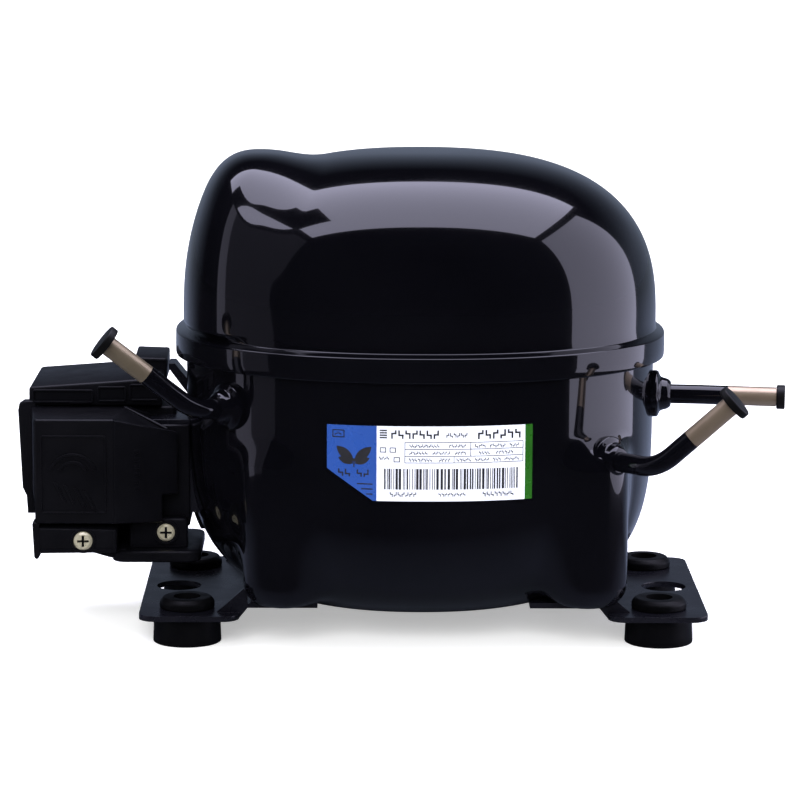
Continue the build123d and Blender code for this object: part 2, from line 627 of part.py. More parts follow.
with BuildPart() as counterweight:
    # half ring opposite the crankpin, riveted to the web
    with BuildSketch(Plane(origin=(SHAFT_X, 0, WEB[0]), x_dir=(cos(CRANK_REST), -sin(CRANK_REST), 0))):
        Circle(24.0)
        Circle(13.05, mode=Mode.SUBTRACT)
        with Locations((-20, 0)):
            Rectangle(50, 60, mode=Mode.SUBTRACT)
    extrude(amount=WEB[1] - WEB[0])
save(counterweight.part, "counterweight")

with BuildPart() as oil_pickup:
    add(turned([(3, 0), (3, 20), (4.4, 20), (4.4, 4), (2.6, -4), (1.6, -4), (1.6, -2)], (SHAFT_X, 0, 18),
               (0, 0, 1), (1, 0, 0)))
save(oil_pickup.part, "oil_pickup")

with BuildPart() as thrust_washer:
    add(turned([(JOURNAL + 0.1, PLATE_Z[1] + 0.05), (13, PLATE_Z[1] + 0.05), (13, WEB[0] - 0.05),
                (JOURNAL + 0.1, WEB[0] - 0.05)], (SHAFT_X, 0, 0), (0, 0, 1), (1, 0, 0)))
save(thrust_washer.part, "thrust_washer")

WRIST_PIN = 4.0
CROWN = 3.0                # piston crown thickness
with BuildPart() as piston:
    add(turned([(0, 0), (BORE - RUNNING - 0.5, 0), (BORE - RUNNING, 0.5), (BORE - RUNNING, 20), (10.4, 20),
                (10.4, CROWN), (0, CROWN)], (WRIST_X - 10, 0, CYLINDER_Z), (1, 0, 0)))
    with BuildSketch(Plane.XY.offset(CYLINDER_Z - 20)):
        with Locations((WRIST_X, 0)):
            Circle(WRIST_PIN)
    extrude(amount=40, mode=Mode.SUBTRACT)
save(piston.part, "piston")

with BuildPart() as wrist_pin:
    with BuildSketch(Plane.XY.offset(CYLINDER_Z - 11.5)):
        with Locations((WRIST_X, 0)):
            Circle(WRIST_PIN)
            Circle(2.2, mode=Mode.SUBTRACT)
    extrude(amount=23)
save(wrist_pin.part, "wrist_pin")

OPEN_PIVOT = 0.5           # radial room at the crankpin
rod_plane = Plane(origin=(WRIST_X, 0, CYLINDER_Z - ROD_HALF), x_dir=(cos(ROD_TILT), sin(ROD_TILT), 0))
with BuildPart() as connecting_rod:
    with BuildSketch(rod_plane):
        Circle(6.3)
        with Locations((ROD_LENGTH, 0)):
            Circle(CRANKPIN + OPEN_PIVOT + 3.6)
        with Locations((ROD_LENGTH / 2, 0)):
            Rectangle(ROD_LENGTH, 7.0)
        with Locations((ROD_LENGTH, 0)):
            Circle(CRANKPIN + OPEN_PIVOT, mode=Mode.SUBTRACT)
        Circle(WRIST_PIN + RUNNING, mode=Mode.SUBTRACT)
    extrude(amount=2 * ROD_HALF)
    # the shank is thinner than its two eyes
    with BuildSketch(rod_plane):
        with Locations((ROD_LENGTH / 2 - 2, 0)):
            Rectangle(14, 8)
    extrude(amount=2, mode=Mode.SUBTRACT)
save(connecting_rod.part, "connecting_rod")

# ---------------------------------------------------------------- inside: crankcase block and head
HEAD_HALF = 21.0           # the head, gasket and valve plate are square
HEAD_SCREWS = 15.5
with BuildPart() as cylinder_block:
    with BuildSketch(Plane.XY.offset(PLATE_Z[0])):
        with Locations((SHAFT_X, 0)):
            Circle(33)
            with Locations((-30, 0)):
                Rectangle(48, 2 * HEAD_HALF)
            for angle in (40.0, 140.0, 220.0, 320.0):
                arm = (STATOR_CORNER[0] / 2 * (1 if cos(radians(angle)) > 0 else -1),
                       STATOR_CORNER[1] / 2 * (1 if sin(radians(angle)) > 0 else -1))
                with Locations(arm):
                    Rectangle(STATOR_CORNER[0] + 8, 14, rotation=angle)
    extrude(amount=PLATE_Z[1] - PLATE_Z[0])
    for place in four_corners(STATOR_CORNER):
        add(turned([(0, STACK[1]), (6.5, STACK[1]), (7.5, PLATE_Z[0]), (7.5, PLATE_Z[1]), (0, PLATE_Z[1])],
                   (*place, 0), (0, 0, 1), (1, 0, 0)))
    add(turned([(0, STACK[1] + 6.5), (13, STACK[1] + 6.5), (15, PLATE_Z[0]), (0, PLATE_Z[0])],
               (SHAFT_X, 0, 0), (0, 0, 1), (1, 0, 0)))
    # cylinder body, with the square face that carries the head
    add(turned([(0, 0), (19, 0), (19, 26), (17, 29), (0, 29)], (BLOCK_FACE, 0, CYLINDER_Z), (1, 0, 0)))
    with BuildSketch(Plane(origin=(BLOCK_FACE, 0, CYLINDER_Z), x_dir=(0, 1, 0), z_dir=(1, 0, 0))):
        RectangleRounded(2 * HEAD_HALF, 2 * HEAD_HALF, 4)
    extrude(amount=9)
    with BuildSketch(Plane.XY.offset(PLATE_Z[0])):
        with Locations((BLOCK_FACE + 14, 0)):
            Rectangle(28, 30)
    extrude(amount=22)
    # bores
    with BuildSketch(Plane(origin=(BLOCK_FACE - 1, 0, CYLINDER_Z), x_dir=(0, 1, 0), z_dir=(1, 0, 0))):
        Circle(BORE)
    extrude(amount=60, mode=Mode.SUBTRACT)
    with BuildSketch(Plane.XY.offset(STACK[1])):
        with Locations((SHAFT_X, 0)):
            Circle(JOURNAL + RUNNING)
    extrude(amount=40, mode=Mode.SUBTRACT)
    with BuildSketch(Plane.XY.offset(STACK[1] - 1)):
        with Locations(*four_corners(STATOR_CORNER)):
            Circle(2.5)
    extrude(amount=20, mode=Mode.SUBTRACT)
    with BuildSketch(Plane(origin=(BLOCK_FACE, 0, CYLINDER_Z), x_dir=(0, 1, 0), z_dir=(1, 0, 0))):
        with GridLocations(2 * HEAD_SCREWS, 2 * HEAD_SCREWS, 2, 2):
            Circle(1.95)
    extrude(amount=8, mode=Mode.SUBTRACT)
save(cylinder_block.part, "cylinder_block")


def head_layer(near, far, window=None, corner=4.0):
    """Square plate between two x values, with the four screw holes and an optional window."""
    with BuildPart() as layer:
        with BuildSketch(Plane(origin=(near, 0, CYLINDER_Z), x_dir=(0, 1, 0), z_dir=(-1, 0, 0))):
            RectangleRounded(2 * HEAD_HALF, 2 * HEAD_HALF, corner)
            with GridLocations(2 * HEAD_SCREWS, 2 * HEAD_SCREWS, 2, 2):
                Circle(2.0, mode=Mode.SUBTRACT)
            if window:
                RectangleRounded(*window, 2.5, mode=Mode.SUBTRACT)
        extrude(amount=near - far)
    return layer.part


VALVE_PLATE = 3.0
GASKET = 1.0
PORTS = ((0, 5.0, 2.6), (0, -5.0, 2.2))   # suction and discharge ports: y, z, radius
with BuildPart() as valve_plate:
    add(head_layer(BLOCK_FACE, BLOCK_FACE - VALVE_PLATE))
    for y, z, radius in PORTS:
        with BuildSketch(Plane(origin=(BLOCK_FACE + 1, y, CYLINDER_Z + z), z_dir=(-1, 0, 0))):
            Circle(radius)
        extrude(amount=6, mode=Mode.SUBTRACT)
save(valve_plate.part, "valve_plate")

REED = 0.3
with BuildPart() as suction_reed:
    with BuildSketch(facing_left(BLOCK_FACE + 0.05 + REED, CYLINDER_Z)):
        with Locations((0, 5.0)):
            Circle(4.0)
        with Locations((0, 8.0)):
            Rectangle(6, 7)
    extrude(amount=REED)
save(suction_reed.part, "suction_reed")

with BuildPart() as discharge_reed:
    with BuildSketch(facing_left(BLOCK_FACE - VALVE_PLATE - 0.05, CYLINDER_Z)):
        with Locations((0, -5.0)):
            Circle(3.6)
        with Locations((0, -8.6)):
            Rectangle(5, 7)
    extrude(amount=REED)
save(discharge_reed.part, "discharge_reed")

with BuildPart() as head_gasket:
    add(head_layer(BLOCK_FACE - VALVE_PLATE, BLOCK_FACE - VALVE_PLATE - GASKET, (26, 26)))
save(head_gasket.part, "head_gasket")

HEAD_NEAR = BLOCK_FACE - VALVE_PLATE - GASKET
HEAD_DEPTH = 12.0
with BuildPart() as cylinder_head:
    add(head_layer(HEAD_NEAR, HEAD_NEAR - HEAD_DEPTH))
    # two chambers, divided by a wall between the ports
    for z in (7.2, -7.2):
        with BuildSketch(Plane(origin=(HEAD_NEAR, 0, CYLINDER_Z + z), x_dir=(0, 1, 0), z_dir=(-1, 0, 0))):
            RectangleRounded(25, 11.6, 2.0)
        extrude(amount=9.0, mode=Mode.SUBTRACT)
    # suction inlet from the muffler above, and the outlet of the discharge chamber
    with BuildSketch(Plane.XY.offset(CYLINDER_Z + 8)):
        with Locations((HEAD_NEAR - 5, 0)):
            Circle(3.4)
    extrude(amount=20, mode=Mode.SUBTRACT)
    with BuildSketch(Plane(origin=(HEAD_NEAR - 5, -8, CYLINDER_Z - 8), x_dir=(1, 0, 0), z_dir=(0, -1, 0))):
        Circle(1.8)
    extrude(amount=20, mode=Mode.SUBTRACT)
save(cylinder_head.part, "cylinder_head")

with BuildPart() as head_screws:
    for y in (-HEAD_SCREWS, HEAD_SCREWS):
        for z in (-HEAD_SCREWS, HEAD_SCREWS):
            tip = (BLOCK_FACE + 6, y, CYLINDER_Z + z)
            reach = BLOCK_FACE + 6 - (HEAD_NEAR - HEAD_DEPTH)
            add(turned([(0, 0), (1.9, 0), (1.9, reach), (3.6, reach), (3.6, reach + 3.4), (3.2, reach + 3.8),
                        (0, reach + 3.8)], tip, (-1, 0, 0)))
save(head_screws.part, "head_screws")

MUFFLER_X = (-72.0, -46.0)
with BuildPart() as suction_muffler:
    muffler_floor = CYLINDER_Z + HEAD_HALF + 3
    add(block((MUFFLER_X[0], -20, muffler_floor), (MUFFLER_X[1], 20, 160), 6.0))
    fillet(suction_muffler.edges().group_by(Axis.Z)[-1], radius=3.5)
    add(block((MUFFLER_X[0] + 1.6, -18.4, muffler_floor + 1.6), (MUFFLER_X[1] - 1.6, 18.4, 158.4), 4.4),
        mode=Mode.SUBTRACT)
    with BuildSketch(Plane.XY.offset(muffler_floor + 2)):
        with Locations((HEAD_NEAR - 5, 0)):
            Circle(3.35)
    extrude(amount=-10)
    with BuildSketch(Plane.XY.offset(muffler_floor + 3)):
        with Locations((HEAD_NEAR - 5, 0)):
            Circle(2.4)
    extrude(amount=-14, mode=Mode.SUBTRACT)
    # inlet snout that faces the suction side of the shell
    with BuildSketch(Plane.YZ.offset(MUFFLER_X[1] - 1)):
        with Locations((-10, 152)):
            Circle(4.5)
            Circle(3.2, mode=Mode.SUBTRACT)
    extrude(amount=9)
save(suction_muffler.part, "suction_muffler")

with BuildPart() as discharge_line:
    port = (HEAD_NEAR - 5, -HEAD_HALF - 0.1, CYLINDER_Z - 8)
    with BuildLine() as line_route:
        Spline((-60.8, -39.4, 87.6), (-57.5, -39, 91), (-56, -46, 98), (-44, -52, 107), (-33, -46, 112),
               (-44, -37, 114), port)
    with BuildSketch(Plane(origin=line_route.line @ 0, z_dir=line_route.line % 0)):
        Circle(1.6)
        Circle(1.0, mode=Mode.SUBTRACT)
    sweep(path=line_route.line)
save(discharge_line.part, "discharge_line")

with BuildPart() as stator_screws:
    for place in four_corners(STATOR_CORNER):
        add(turned([(0, 0), (2.4, 0), (2.4, -44), (0, -44)], (*place, STACK[1] + 14), (0, 0, 1), (1, 0, 0)))
        add(turned([(0, 0), (4.4, 0), (4.4, -2.6), (0, -2.6)], (*place, STACK[0]), (0, 0, 1), (1, 0, 0)))
save(stator_screws.part, "stator_screws")

# ---------------------------------------------------------------- inside: suspension and wiring
WIRE = 0.8                 # spring wire radius
ENDS = {"front_left": (-1, -1), "front_right": (1, -1), "rear_left": (-1, 1), "rear_right": (1, 1)}
for name, (sx, sy) in ENDS.items():
    at = (SHAFT_X + sx * SPRING[0], sy * SPRING[1])
    with BuildPart() as spring:
        with BuildLine() as coil:
            Helix(pitch=3.0, height=SPRING_HEAD - SPRING_FOOT - 2 * WIRE, radius=4.9,
                  center=(*at, SPRING_FOOT + WIRE))
        with BuildSketch(Plane(origin=coil.line @ 0, z_dir=coil.line % 0)):
            Circle(WIRE)
        sweep(path=coil.line, is_frenet=True)
    save(spring.part, f"suspension_spring_{name}")

with BuildPart() as lower_spring_seats:
    for place in four_corners(SPRING):
        add(turned([(0, 19.0), (3.4, 19.0), (5.8, 20.4), (5.8, SPRING_FOOT), (3.9, SPRING_FOOT), (3.5, 26), (0, 26)],
                   (*place, 0), (0, 0, 1), (1, 0, 0)))
save(lower_spring_seats.part, "lower_spring_seats")

with BuildPart() as upper_spring_seats:
    for place in four_corners(SPRING):
        add(turned([(0, SPRING_HEAD - 4), (3.5, SPRING_HEAD - 4), (3.9, SPRING_HEAD), (5.8, SPRING_HEAD),
                    (5.8, STACK[0]), (0, STACK[0])], (*place, 0), (0, 0, 1), (1, 0, 0)))
    add(stator_screws.part, mode=Mode.SUBTRACT)
save(upper_spring_seats.part, "upper_spring_seats")

with BuildPart() as internal_connector:
    add(block((-76.5, -10, 51), (-68.5, 10, 69), 1.5))
    with BuildSketch(facing_left(-66.5)):
        with PolarLocations(PIN_CIRCLE, 3, start_angle=90):
            Circle(SOCKET_RADIUS)
    extrude(amount=13.5, mode=Mode.SUBTRACT)
    add(turned([(0, -1), (15, -1), (15, 1.5), (0, 1.5)], (TERMINAL_X + 3.5, 0, TERMINAL_Z), (-1, 0, 0)),
        mode=Mode.SUBTRACT)
save(internal_connector.part, "internal_connector")

with BuildPart() as lead_wires:
    for y in (-5.0, 0.0, 5.0):
        with BuildLine() as wire:
            Spline((-68.3, y, 62), (-62, y, 70), (-54, y * 1.5, 76), (-42.4, y * 1.6, 74.5),
                   tangents=[(1, 0, 0), (1, 0, 0)])
        with BuildSketch(Plane(origin=wire.line @ 0, z_dir=wire.line % 0)):
            Circle(1.1)
        sweep(path=wire.line)
save(lead_wires.part, "lead_wires")
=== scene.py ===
"""Looks of the hermetic compressor: shells, label, tubes, terminal box, materials, stage and camera."""
import itertools
import json
import math

import bmesh
import bpy
import numpy as np
from mathutils import Matrix, Vector


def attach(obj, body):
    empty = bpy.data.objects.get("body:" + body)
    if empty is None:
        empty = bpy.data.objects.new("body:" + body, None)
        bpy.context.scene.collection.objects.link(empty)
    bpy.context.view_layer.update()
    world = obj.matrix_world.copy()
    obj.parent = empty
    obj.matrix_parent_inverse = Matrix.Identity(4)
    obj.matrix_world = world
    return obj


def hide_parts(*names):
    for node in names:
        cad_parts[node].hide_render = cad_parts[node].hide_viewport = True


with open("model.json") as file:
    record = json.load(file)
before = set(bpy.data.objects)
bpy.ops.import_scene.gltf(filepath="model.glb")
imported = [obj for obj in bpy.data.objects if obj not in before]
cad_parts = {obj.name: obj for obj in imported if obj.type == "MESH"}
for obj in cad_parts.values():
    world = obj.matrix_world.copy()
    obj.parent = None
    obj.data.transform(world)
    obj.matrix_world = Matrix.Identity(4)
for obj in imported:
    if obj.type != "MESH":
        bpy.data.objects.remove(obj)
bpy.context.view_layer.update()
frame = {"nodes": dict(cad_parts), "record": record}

MM = 0.001
HOUSING = "housing"
BUMP_DEPTH = 0.2 * MM


# ---------------------------------------------------------------- node materials
def new_material(name):
    """Empty node material with its principled shader."""
    material = bpy.data.materials.new(name)
    material.use_nodes = True
    shader = material.node_tree.nodes["Principled BSDF"]
    return material, material.node_tree, shader


def noise(tree, scale, detail=4.0, roughness=0.55, stretch=None):
    """Noise in object space, in 1/m; stretch scales the axes."""
    coords = tree.nodes.new("ShaderNodeTexCoord")
    texture = tree.nodes.new("ShaderNodeTexNoise")
    texture.inputs["Scale"].default_value = scale
    texture.inputs["Detail"].default_value = detail
    texture.inputs["Roughness"].default_value = roughness
    source = coords.outputs["Object"]
    if stretch:
        mapping = tree.nodes.new("ShaderNodeMapping")
        mapping.inputs["Scale"].default_value = stretch
        tree.links.new(source, mapping.inputs["Vector"])
        source = mapping.outputs["Vector"]
    tree.links.new(source, texture.inputs["Vector"])
    return texture.outputs["Fac"]


def ramp(tree, fac, low, high, start=0.3, stop=0.7):
    """Colour or grey ramp between two values over part of the input's range."""
    node = tree.nodes.new("ShaderNodeValToRGB")
    ends = node.color_ramp.elements
    ends[0].position, ends[1].position = start, stop
    ends[0].color = (*low, 1) if isinstance(low, tuple) else (low, low, low, 1)
    ends[1].color = (*high, 1) if isinstance(high, tuple) else (high, high, high, 1)
    tree.links.new(fac, node.inputs["Fac"])
    return node.outputs["Color"]


def bump(tree, shader, height, strength):
    """Bump from a height into the shader's normal."""
    node = tree.nodes.new("ShaderNodeBump")
    node.inputs["Strength"].default_value = strength
    node.inputs["Distance"].default_value = BUMP_DEPTH
    tree.links.new(height, node.inputs["Height"])
    tree.links.new(node.outputs["Normal"], shader.inputs["Normal"])


def surface(name, low, high, rough, metallic=0.0, scale=60.0, fine=900.0, relief=0.1,
            stretch=None, coat=0.0, coat_rough=0.05, specular=0.5):
    """Material whose colour and roughness vary softly, with a fine relief."""
    material, tree, shader = new_material(name)
    broad = noise(tree, scale, stretch=stretch)
    tree.links.new(ramp(tree, broad, low, high), shader.inputs["Base Color"])
    wear = noise(tree, scale * 2.3, stretch=stretch)
    tree.links.new(ramp(tree, wear, *rough), shader.inputs["Roughness"])
    shader.inputs["Metallic"].default_value = metallic
    shader.inputs["Specular IOR Level"].default_value = specular
    shader.inputs["Coat Weight"].default_value = coat
    shader.inputs["Coat Roughness"].default_value = coat_rough
    bump(tree, shader, noise(tree, fine, detail=3.0, stretch=stretch), relief)
    return material


PAINT = surface("black_gloss_paint", (0.0010, 0.0010, 0.0016), (0.0017, 0.0017, 0.0026), (0.10, 0.15),
                scale=18.0, fine=240.0, relief=0.012, coat=1.0, coat_rough=0.02, specular=0.12)
PLATE_PAINT = surface("black_plate_paint", (0.0030, 0.0030, 0.0048), (0.0055, 0.0055, 0.0085), (0.24, 0.34),
                      scale=40.0, fine=700.0, relief=0.05, coat=0.2, coat_rough=0.18, specular=0.35)
PLASTIC = surface("black_moulded_plastic", (0.0018, 0.0018, 0.0026), (0.0030, 0.0030, 0.0042), (0.30, 0.42),
                  scale=55.0, fine=2600.0, relief=0.12, specular=0.22)
PLASTIC_DARK = surface("dark_grey_plastic", (0.030, 0.030, 0.032), (0.042, 0.042, 0.046), (0.36, 0.50),
                       scale=70.0, fine=2200.0, relief=0.16)
RUBBER = surface("black_grommet_rubber", (0.0011, 0.0011, 0.0014), (0.0022, 0.0022, 0.0026), (0.36, 0.50),
                 scale=90.0, fine=1700.0, relief=0.12, specular=0.16)
CAP_RUBBER = surface("black_cap_rubber", (0.0016, 0.0016, 0.0017), (0.0030, 0.0029, 0.0029), (0.36, 0.48),
                     scale=120.0, fine=2200.0, relief=0.15, specular=0.25)
COPPER = surface("bare_copper", (0.46, 0.36, 0.26), (0.55, 0.44, 0.32), (0.33, 0.40), metallic=0.88,
                 scale=60.0, fine=1500.0, relief=0.01)
# a darker copy of the bare copper, for the discharge tube's free end
DARKER_COPPER = surface("darker_copper", (0.33, 0.27, 0.19), (0.42, 0.345, 0.24), (0.36, 0.44),
                    metallic=0.88, scale=60.0, fine=1500.0, relief=0.01)
WINDING = surface("enamelled_copper_wire", (0.42, 0.13, 0.035), (0.62, 0.22, 0.07), (0.22, 0.36),
                  metallic=1.0, scale=200.0, fine=2600.0, relief=0.9, stretch=(1, 1, 3.0))
ZINC = surface("yellow_zinc", (0.52, 0.48, 0.34), (0.66, 0.62, 0.46), (0.26, 0.36), metallic=0.6,
               scale=300.0, fine=2400.0, relief=0.06)
STEEL = surface("machined_steel", (0.42, 0.42, 0.43), (0.60, 0.60, 0.61), (0.20, 0.34), metallic=1.0,
                scale=120.0, fine=1800.0, relief=0.08, stretch=(1, 1, 6.0))
SPRING = surface("oiled_spring_steel", (0.20, 0.20, 0.21), (0.32, 0.32, 0.34), (0.22, 0.34), metallic=1.0,
                 scale=160.0, fine=2000.0, relief=0.06)
IRON = surface("grey_cast_iron", (0.10, 0.10, 0.105), (0.19, 0.19, 0.195), (0.42, 0.62), metallic=0.9,
               scale=150.0, fine=1200.0, relief=0.5)
ALUMINIUM = surface("cast_aluminium", (0.50, 0.50, 0.51), (0.66, 0.66, 0.67), (0.32, 0.48), metallic=1.0,
                    scale=130.0, fine=1400.0, relief=0.3)
LAMINATION = surface("stacked_laminations", (0.16, 0.16, 0.17), (0.30, 0.30, 0.32), (0.28, 0.42),
                     metallic=1.0, scale=60.0, fine=900.0, relief=0.6, stretch=(0.15, 0.15, 9.0))
GASKET = surface("fibre_gasket", (0.20, 0.17, 0.13), (0.30, 0.27, 0.21), (0.7, 0.85), scale=300.0,
                 fine=2400.0, relief=0.5)
IVORY = surface("off_white_plastic", (0.66, 0.64, 0.57), (0.76, 0.74, 0.67), (0.38, 0.50), scale=60.0,
                fine=1800.0, relief=0.1)
SLEEVE = surface("braided_sleeve", (0.50, 0.48, 0.42), (0.72, 0.70, 0.62), (0.7, 0.85), scale=500.0,
                 fine=2600.0, relief=0.8)
GLASS = surface("fused_glass", (0.05, 0.16, 0.14), (0.08, 0.24, 0.20), (0.06, 0.14), scale=200.0,
                fine=900.0, relief=0.04, coat=0.6)
LABEL_WHITE = surface("label_white_film", (0.64, 0.67, 0.74), (0.70, 0.73, 0.80), (0.22, 0.30), scale=30.0,
                      fine=900.0, relief=0.03, coat=0.4, coat_rough=0.12)
LABEL_BLUE = surface("label_blue_ink", (0.0100, 0.048, 0.225), (0.0135, 0.058, 0.265), (0.24, 0.32),
                     scale=60.0, fine=900.0, relief=0.03, coat=0.4, coat_rough=0.12)
LABEL_GREEN = surface("label_green_ink", (0.0085, 0.075, 0.0030), (0.012, 0.095, 0.0045), (0.24, 0.32),
                      scale=60.0, fine=900.0, relief=0.03, coat=0.4, coat_rough=0.12)
LABEL_BLACK = surface("label_black_ink", (0.010, 0.010, 0.012), (0.020, 0.020, 0.024), (0.28, 0.38),
                      scale=90.0, fine=900.0, relief=0.03, coat=0.3, coat_rough=0.15)


# ---------------------------------------------------------------- mesh helpers (millimetres in, metres out)
def put(name, points, faces, materials, body=HOUSING, sharp=math.radians(40)):
    """Mesh object from points in mm; it rides on body."""
    mesh = bpy.data.meshes.new(name)
    in_metres = [tuple(float(c) * MM for c in p) for p in points]
    mesh.from_pydata(in_metres, [], [tuple(int(i) for i in f) for f in faces])
    mesh.update()
    return place(name, mesh, materials, body, sharp)


def place(name, mesh, materials, body=HOUSING, sharp=math.radians(40)):
    """Object for a finished mesh, shaded smooth except across sharp edges."""
    obj = bpy.data.objects.new(name, mesh)
    bpy.context.collection.objects.link(obj)
    mesh.materials.clear()
    for material in materials if isinstance(materials, (list, tuple)) else [materials]:
        mesh.materials.append(material)
    mesh.shade_smooth()
    if sharp is not None:
        mesh.set_sharp_from_angle(angle=sharp)
    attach(obj, body)
    return obj


def stands_for(node):
    """Hide the CAD node that a new object replaces."""
    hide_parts(node)


def ring_faces(rows, around, first=0):
    """Quads between successive closed rings of points."""
    faces = []
    for row in range(rows - 1):
        for col in range(around):
            here = first + row * around
            after = (col + 1) % around
            faces.append((here + col, here + after, here + around + after, here + around + col))
    return faces


def rounded(profile, radius, steps=4):
    """Open profile with each inner corner replaced by a small arc-like curve."""
    points = [profile[0]]
    for before, corner, after in zip(profile, profile[1:], profile[2:]):
        a, c, b = (np.array(p, float) for p in (before, corner, after))
        reach = min(radius, 0.45 * np.linalg.norm(a - c), 0.45 * np.linalg.norm(b - c))
        start = c + (a - c) / np.linalg.norm(a - c) * reach
        stop = c + (b - c) / np.linalg.norm(b - c) * reach
        for step in range(steps + 1):
            t = step / steps
            points.append(tuple((1 - t) ** 2 * start + 2 * t * (1 - t) * c + t * t * stop))
    points.append(profile[-1])
    return points


def across(direction):
    """Two unit vectors square to a direction."""
    along = Vector(direction).normalized()
    side = along.cross(Vector((0, 0, 1)))
    if side.length < 0.1:
        side = Vector((1, 0, 0))
    side.normalize()
    return side, along.cross(side).normalized()


def lathe(name, profile, origin, direction, materials, body=HOUSING, around=96, radius=0.4):
    """Turned piece: profile of (radius, height) points, closed onto the axis or onto itself."""
    side, up = across(direction)
    along = Vector(direction).normalized()
    outline = rounded(profile, radius)
    points = []
    for r, h in outline:
        for step in range(around):
            turn = 2 * math.pi * step / around
            spoke = side * math.cos(turn) + up * math.sin(turn)
            points.append(Vector(origin) + along * h + spoke * max(r, 0.001))
    faces = ring_faces(len(outline), around)
    if profile[0][0] > 0.01:
        last = (len(outline) - 1) * around
        faces += [(last + c, last + (c + 1) % around, (c + 1) % around, c) for c in range(around)]
    else:
        faces.append(tuple(range(around))[::-1])
        faces.append(tuple((len(outline) - 1) * around + c for c in range(around)))
    obj = put(name, points, faces, materials, body)
    face_outwards(obj.data)
    return obj


def face_outwards(mesh):
    """Merge doubled points and turn every face outwards."""
    work = bmesh.new()
    work.from_mesh(mesh)
    bmesh.ops.remove_doubles(work, verts=work.verts, dist=0.0000005)
    bmesh.ops.recalc_face_normals(work, faces=work.faces)
    work.to_mesh(mesh)
    work.free()


def hull(points, bevel=0.8, segments=3):
    """Convex block through corner points, with its edges rounded; returns a mesh in metres."""
    work = bmesh.new()
    for point in points:
        work.verts.new([c * MM for c in point])
    result = bmesh.ops.convex_hull(work, input=work.verts)
    inner = [v for v in result["geom_interior"] if isinstance(v, bmesh.types.BMVert)]
    bmesh.ops.delete(work, geom=inner, context="VERTS")
    bmesh.ops.dissolve_limit(work, angle_limit=math.radians(1.0), verts=work.verts, edges=work.edges)
    bmesh.ops.bevel(work, geom=list(work.edges), offset=bevel * MM, offset_type="OFFSET",
                    segments=segments, profile=0.5, affect="EDGES", clamp_overlap=True)
    bmesh.ops.recalc_face_normals(work, faces=work.faces)
    mesh = bpy.data.meshes.new("block")
    work.to_mesh(mesh)
    work.free()
    return mesh


def block_points(low, high):
    """Eight corners of a box."""
    return list(itertools.product(*zip(low, high)))


def merge(meshes):
    """One mesh from several."""
    work = bmesh.new()
    for mesh in meshes:
        work.from_mesh(mesh)
    result = bpy.data.meshes.new("merged")
    work.to_mesh(result)
    work.free()
    return result


def slab(loops, thickness, bevel, matrix):
    """Flat plate from closed outlines in mm (the first is the rim, the rest are holes), edges rounded."""
    curve = bpy.data.curves.new("outline", "CURVE")
    curve.dimensions = "2D"
    curve.fill_mode = "BOTH"
    curve.extrude = (thickness / 2 - bevel) * MM
    curve.bevel_depth = bevel * MM
    curve.bevel_resolution = 2
    curve.offset = -bevel * MM
    for loop in loops:
        spline = curve.splines.new("POLY")
        spline.points.add(len(loop) - 1)
        for point, (x, y) in zip(spline.points, loop):
            point.co = (x * MM, y * MM, 0, 1)
        spline.use_cyclic_u = True
    holder = bpy.data.objects.new("outline", curve)
    bpy.context.collection.objects.link(holder)
    bpy.context.view_layer.update()
    mesh = bpy.data.meshes.new_from_object(holder.evaluated_get(bpy.context.evaluated_depsgraph_get()))
    bpy.data.objects.remove(holder)
    bpy.data.curves.remove(curve)
    mesh.transform(matrix)
    face_outwards(mesh)
    return mesh


def circle(x, y, radius, count=48):
    """Closed outline of a circle."""
    return [(x + radius * math.cos(2 * math.pi * i / count), y + radius * math.sin(2 * math.pi * i / count))
            for i in range(count)]


def round_rectangle(x0, y0, x1, y1, radius, steps=6):
    """Closed outline of a rectangle with round corners."""
    points = []
    for cx, cy, start in ((x1 - radius, y0 + radius, -90), (x1 - radius, y1 - radius, 0),
                          (x0 + radius, y1 - radius, 90), (x0 + radius, y0 + radius, 180)):
        for step in range(steps + 1):
            angle = math.radians(start + 90 * step / steps)
            points.append((cx + radius * math.cos(angle), cy + radius * math.sin(angle)))
    return points


def frame_at(origin, x_axis, y_axis):
    """Matrix that lays a drawing's x and y along two directions from an origin in mm."""
    x_axis, y_axis = Vector(x_axis).normalized(), Vector(y_axis).normalized()
    z_axis = x_axis.cross(y_axis)
    matrix = Matrix((x_axis, y_axis, z_axis)).transposed().to_4x4()
    matrix.translation = Vector(origin) * MM
    return matrix


# ---------------------------------------------------------------- pressed steel shells
SHELL_X = -1.1              # middle of both shells, in mm from the origin
CRANK_X = 4.0               # the spring pockets stand evenly round the crankshaft
PLAN_POWER = 2.2            # 2 would make the plan an ellipse
AROUND = 288                # points round each ring
SHEET = 2.8
DOME_FOOT, DOME = 113.0, (85.0, 71.5, 60.9)
HUMP_X, HUMP, HUMP_BLEND = -59.3, (26.2, 48.5, 60.5), 7.0
BOWL_TOP, BOWL = 80.0, (85.1, 71.1, 72.0)
POCKET_AT, POCKET_RADIUS, POCKET_HEIGHTS = (54.0, 46.0), 14.5, (16.0, 74.0)
POCKET_EDGE, POCKET_BLEND = 8.0, 7.0
BOWL_RIM = 106.0
BOWL_RAYS_FROM = 92.0


def smooth_union(a, b, blend):
    """Smooth minimum of two distances."""
    t = np.clip(0.5 + 0.5 * (b - a) / blend, 0, 1)
    return b * (1 - t) + a * t - blend * t * (1 - t)


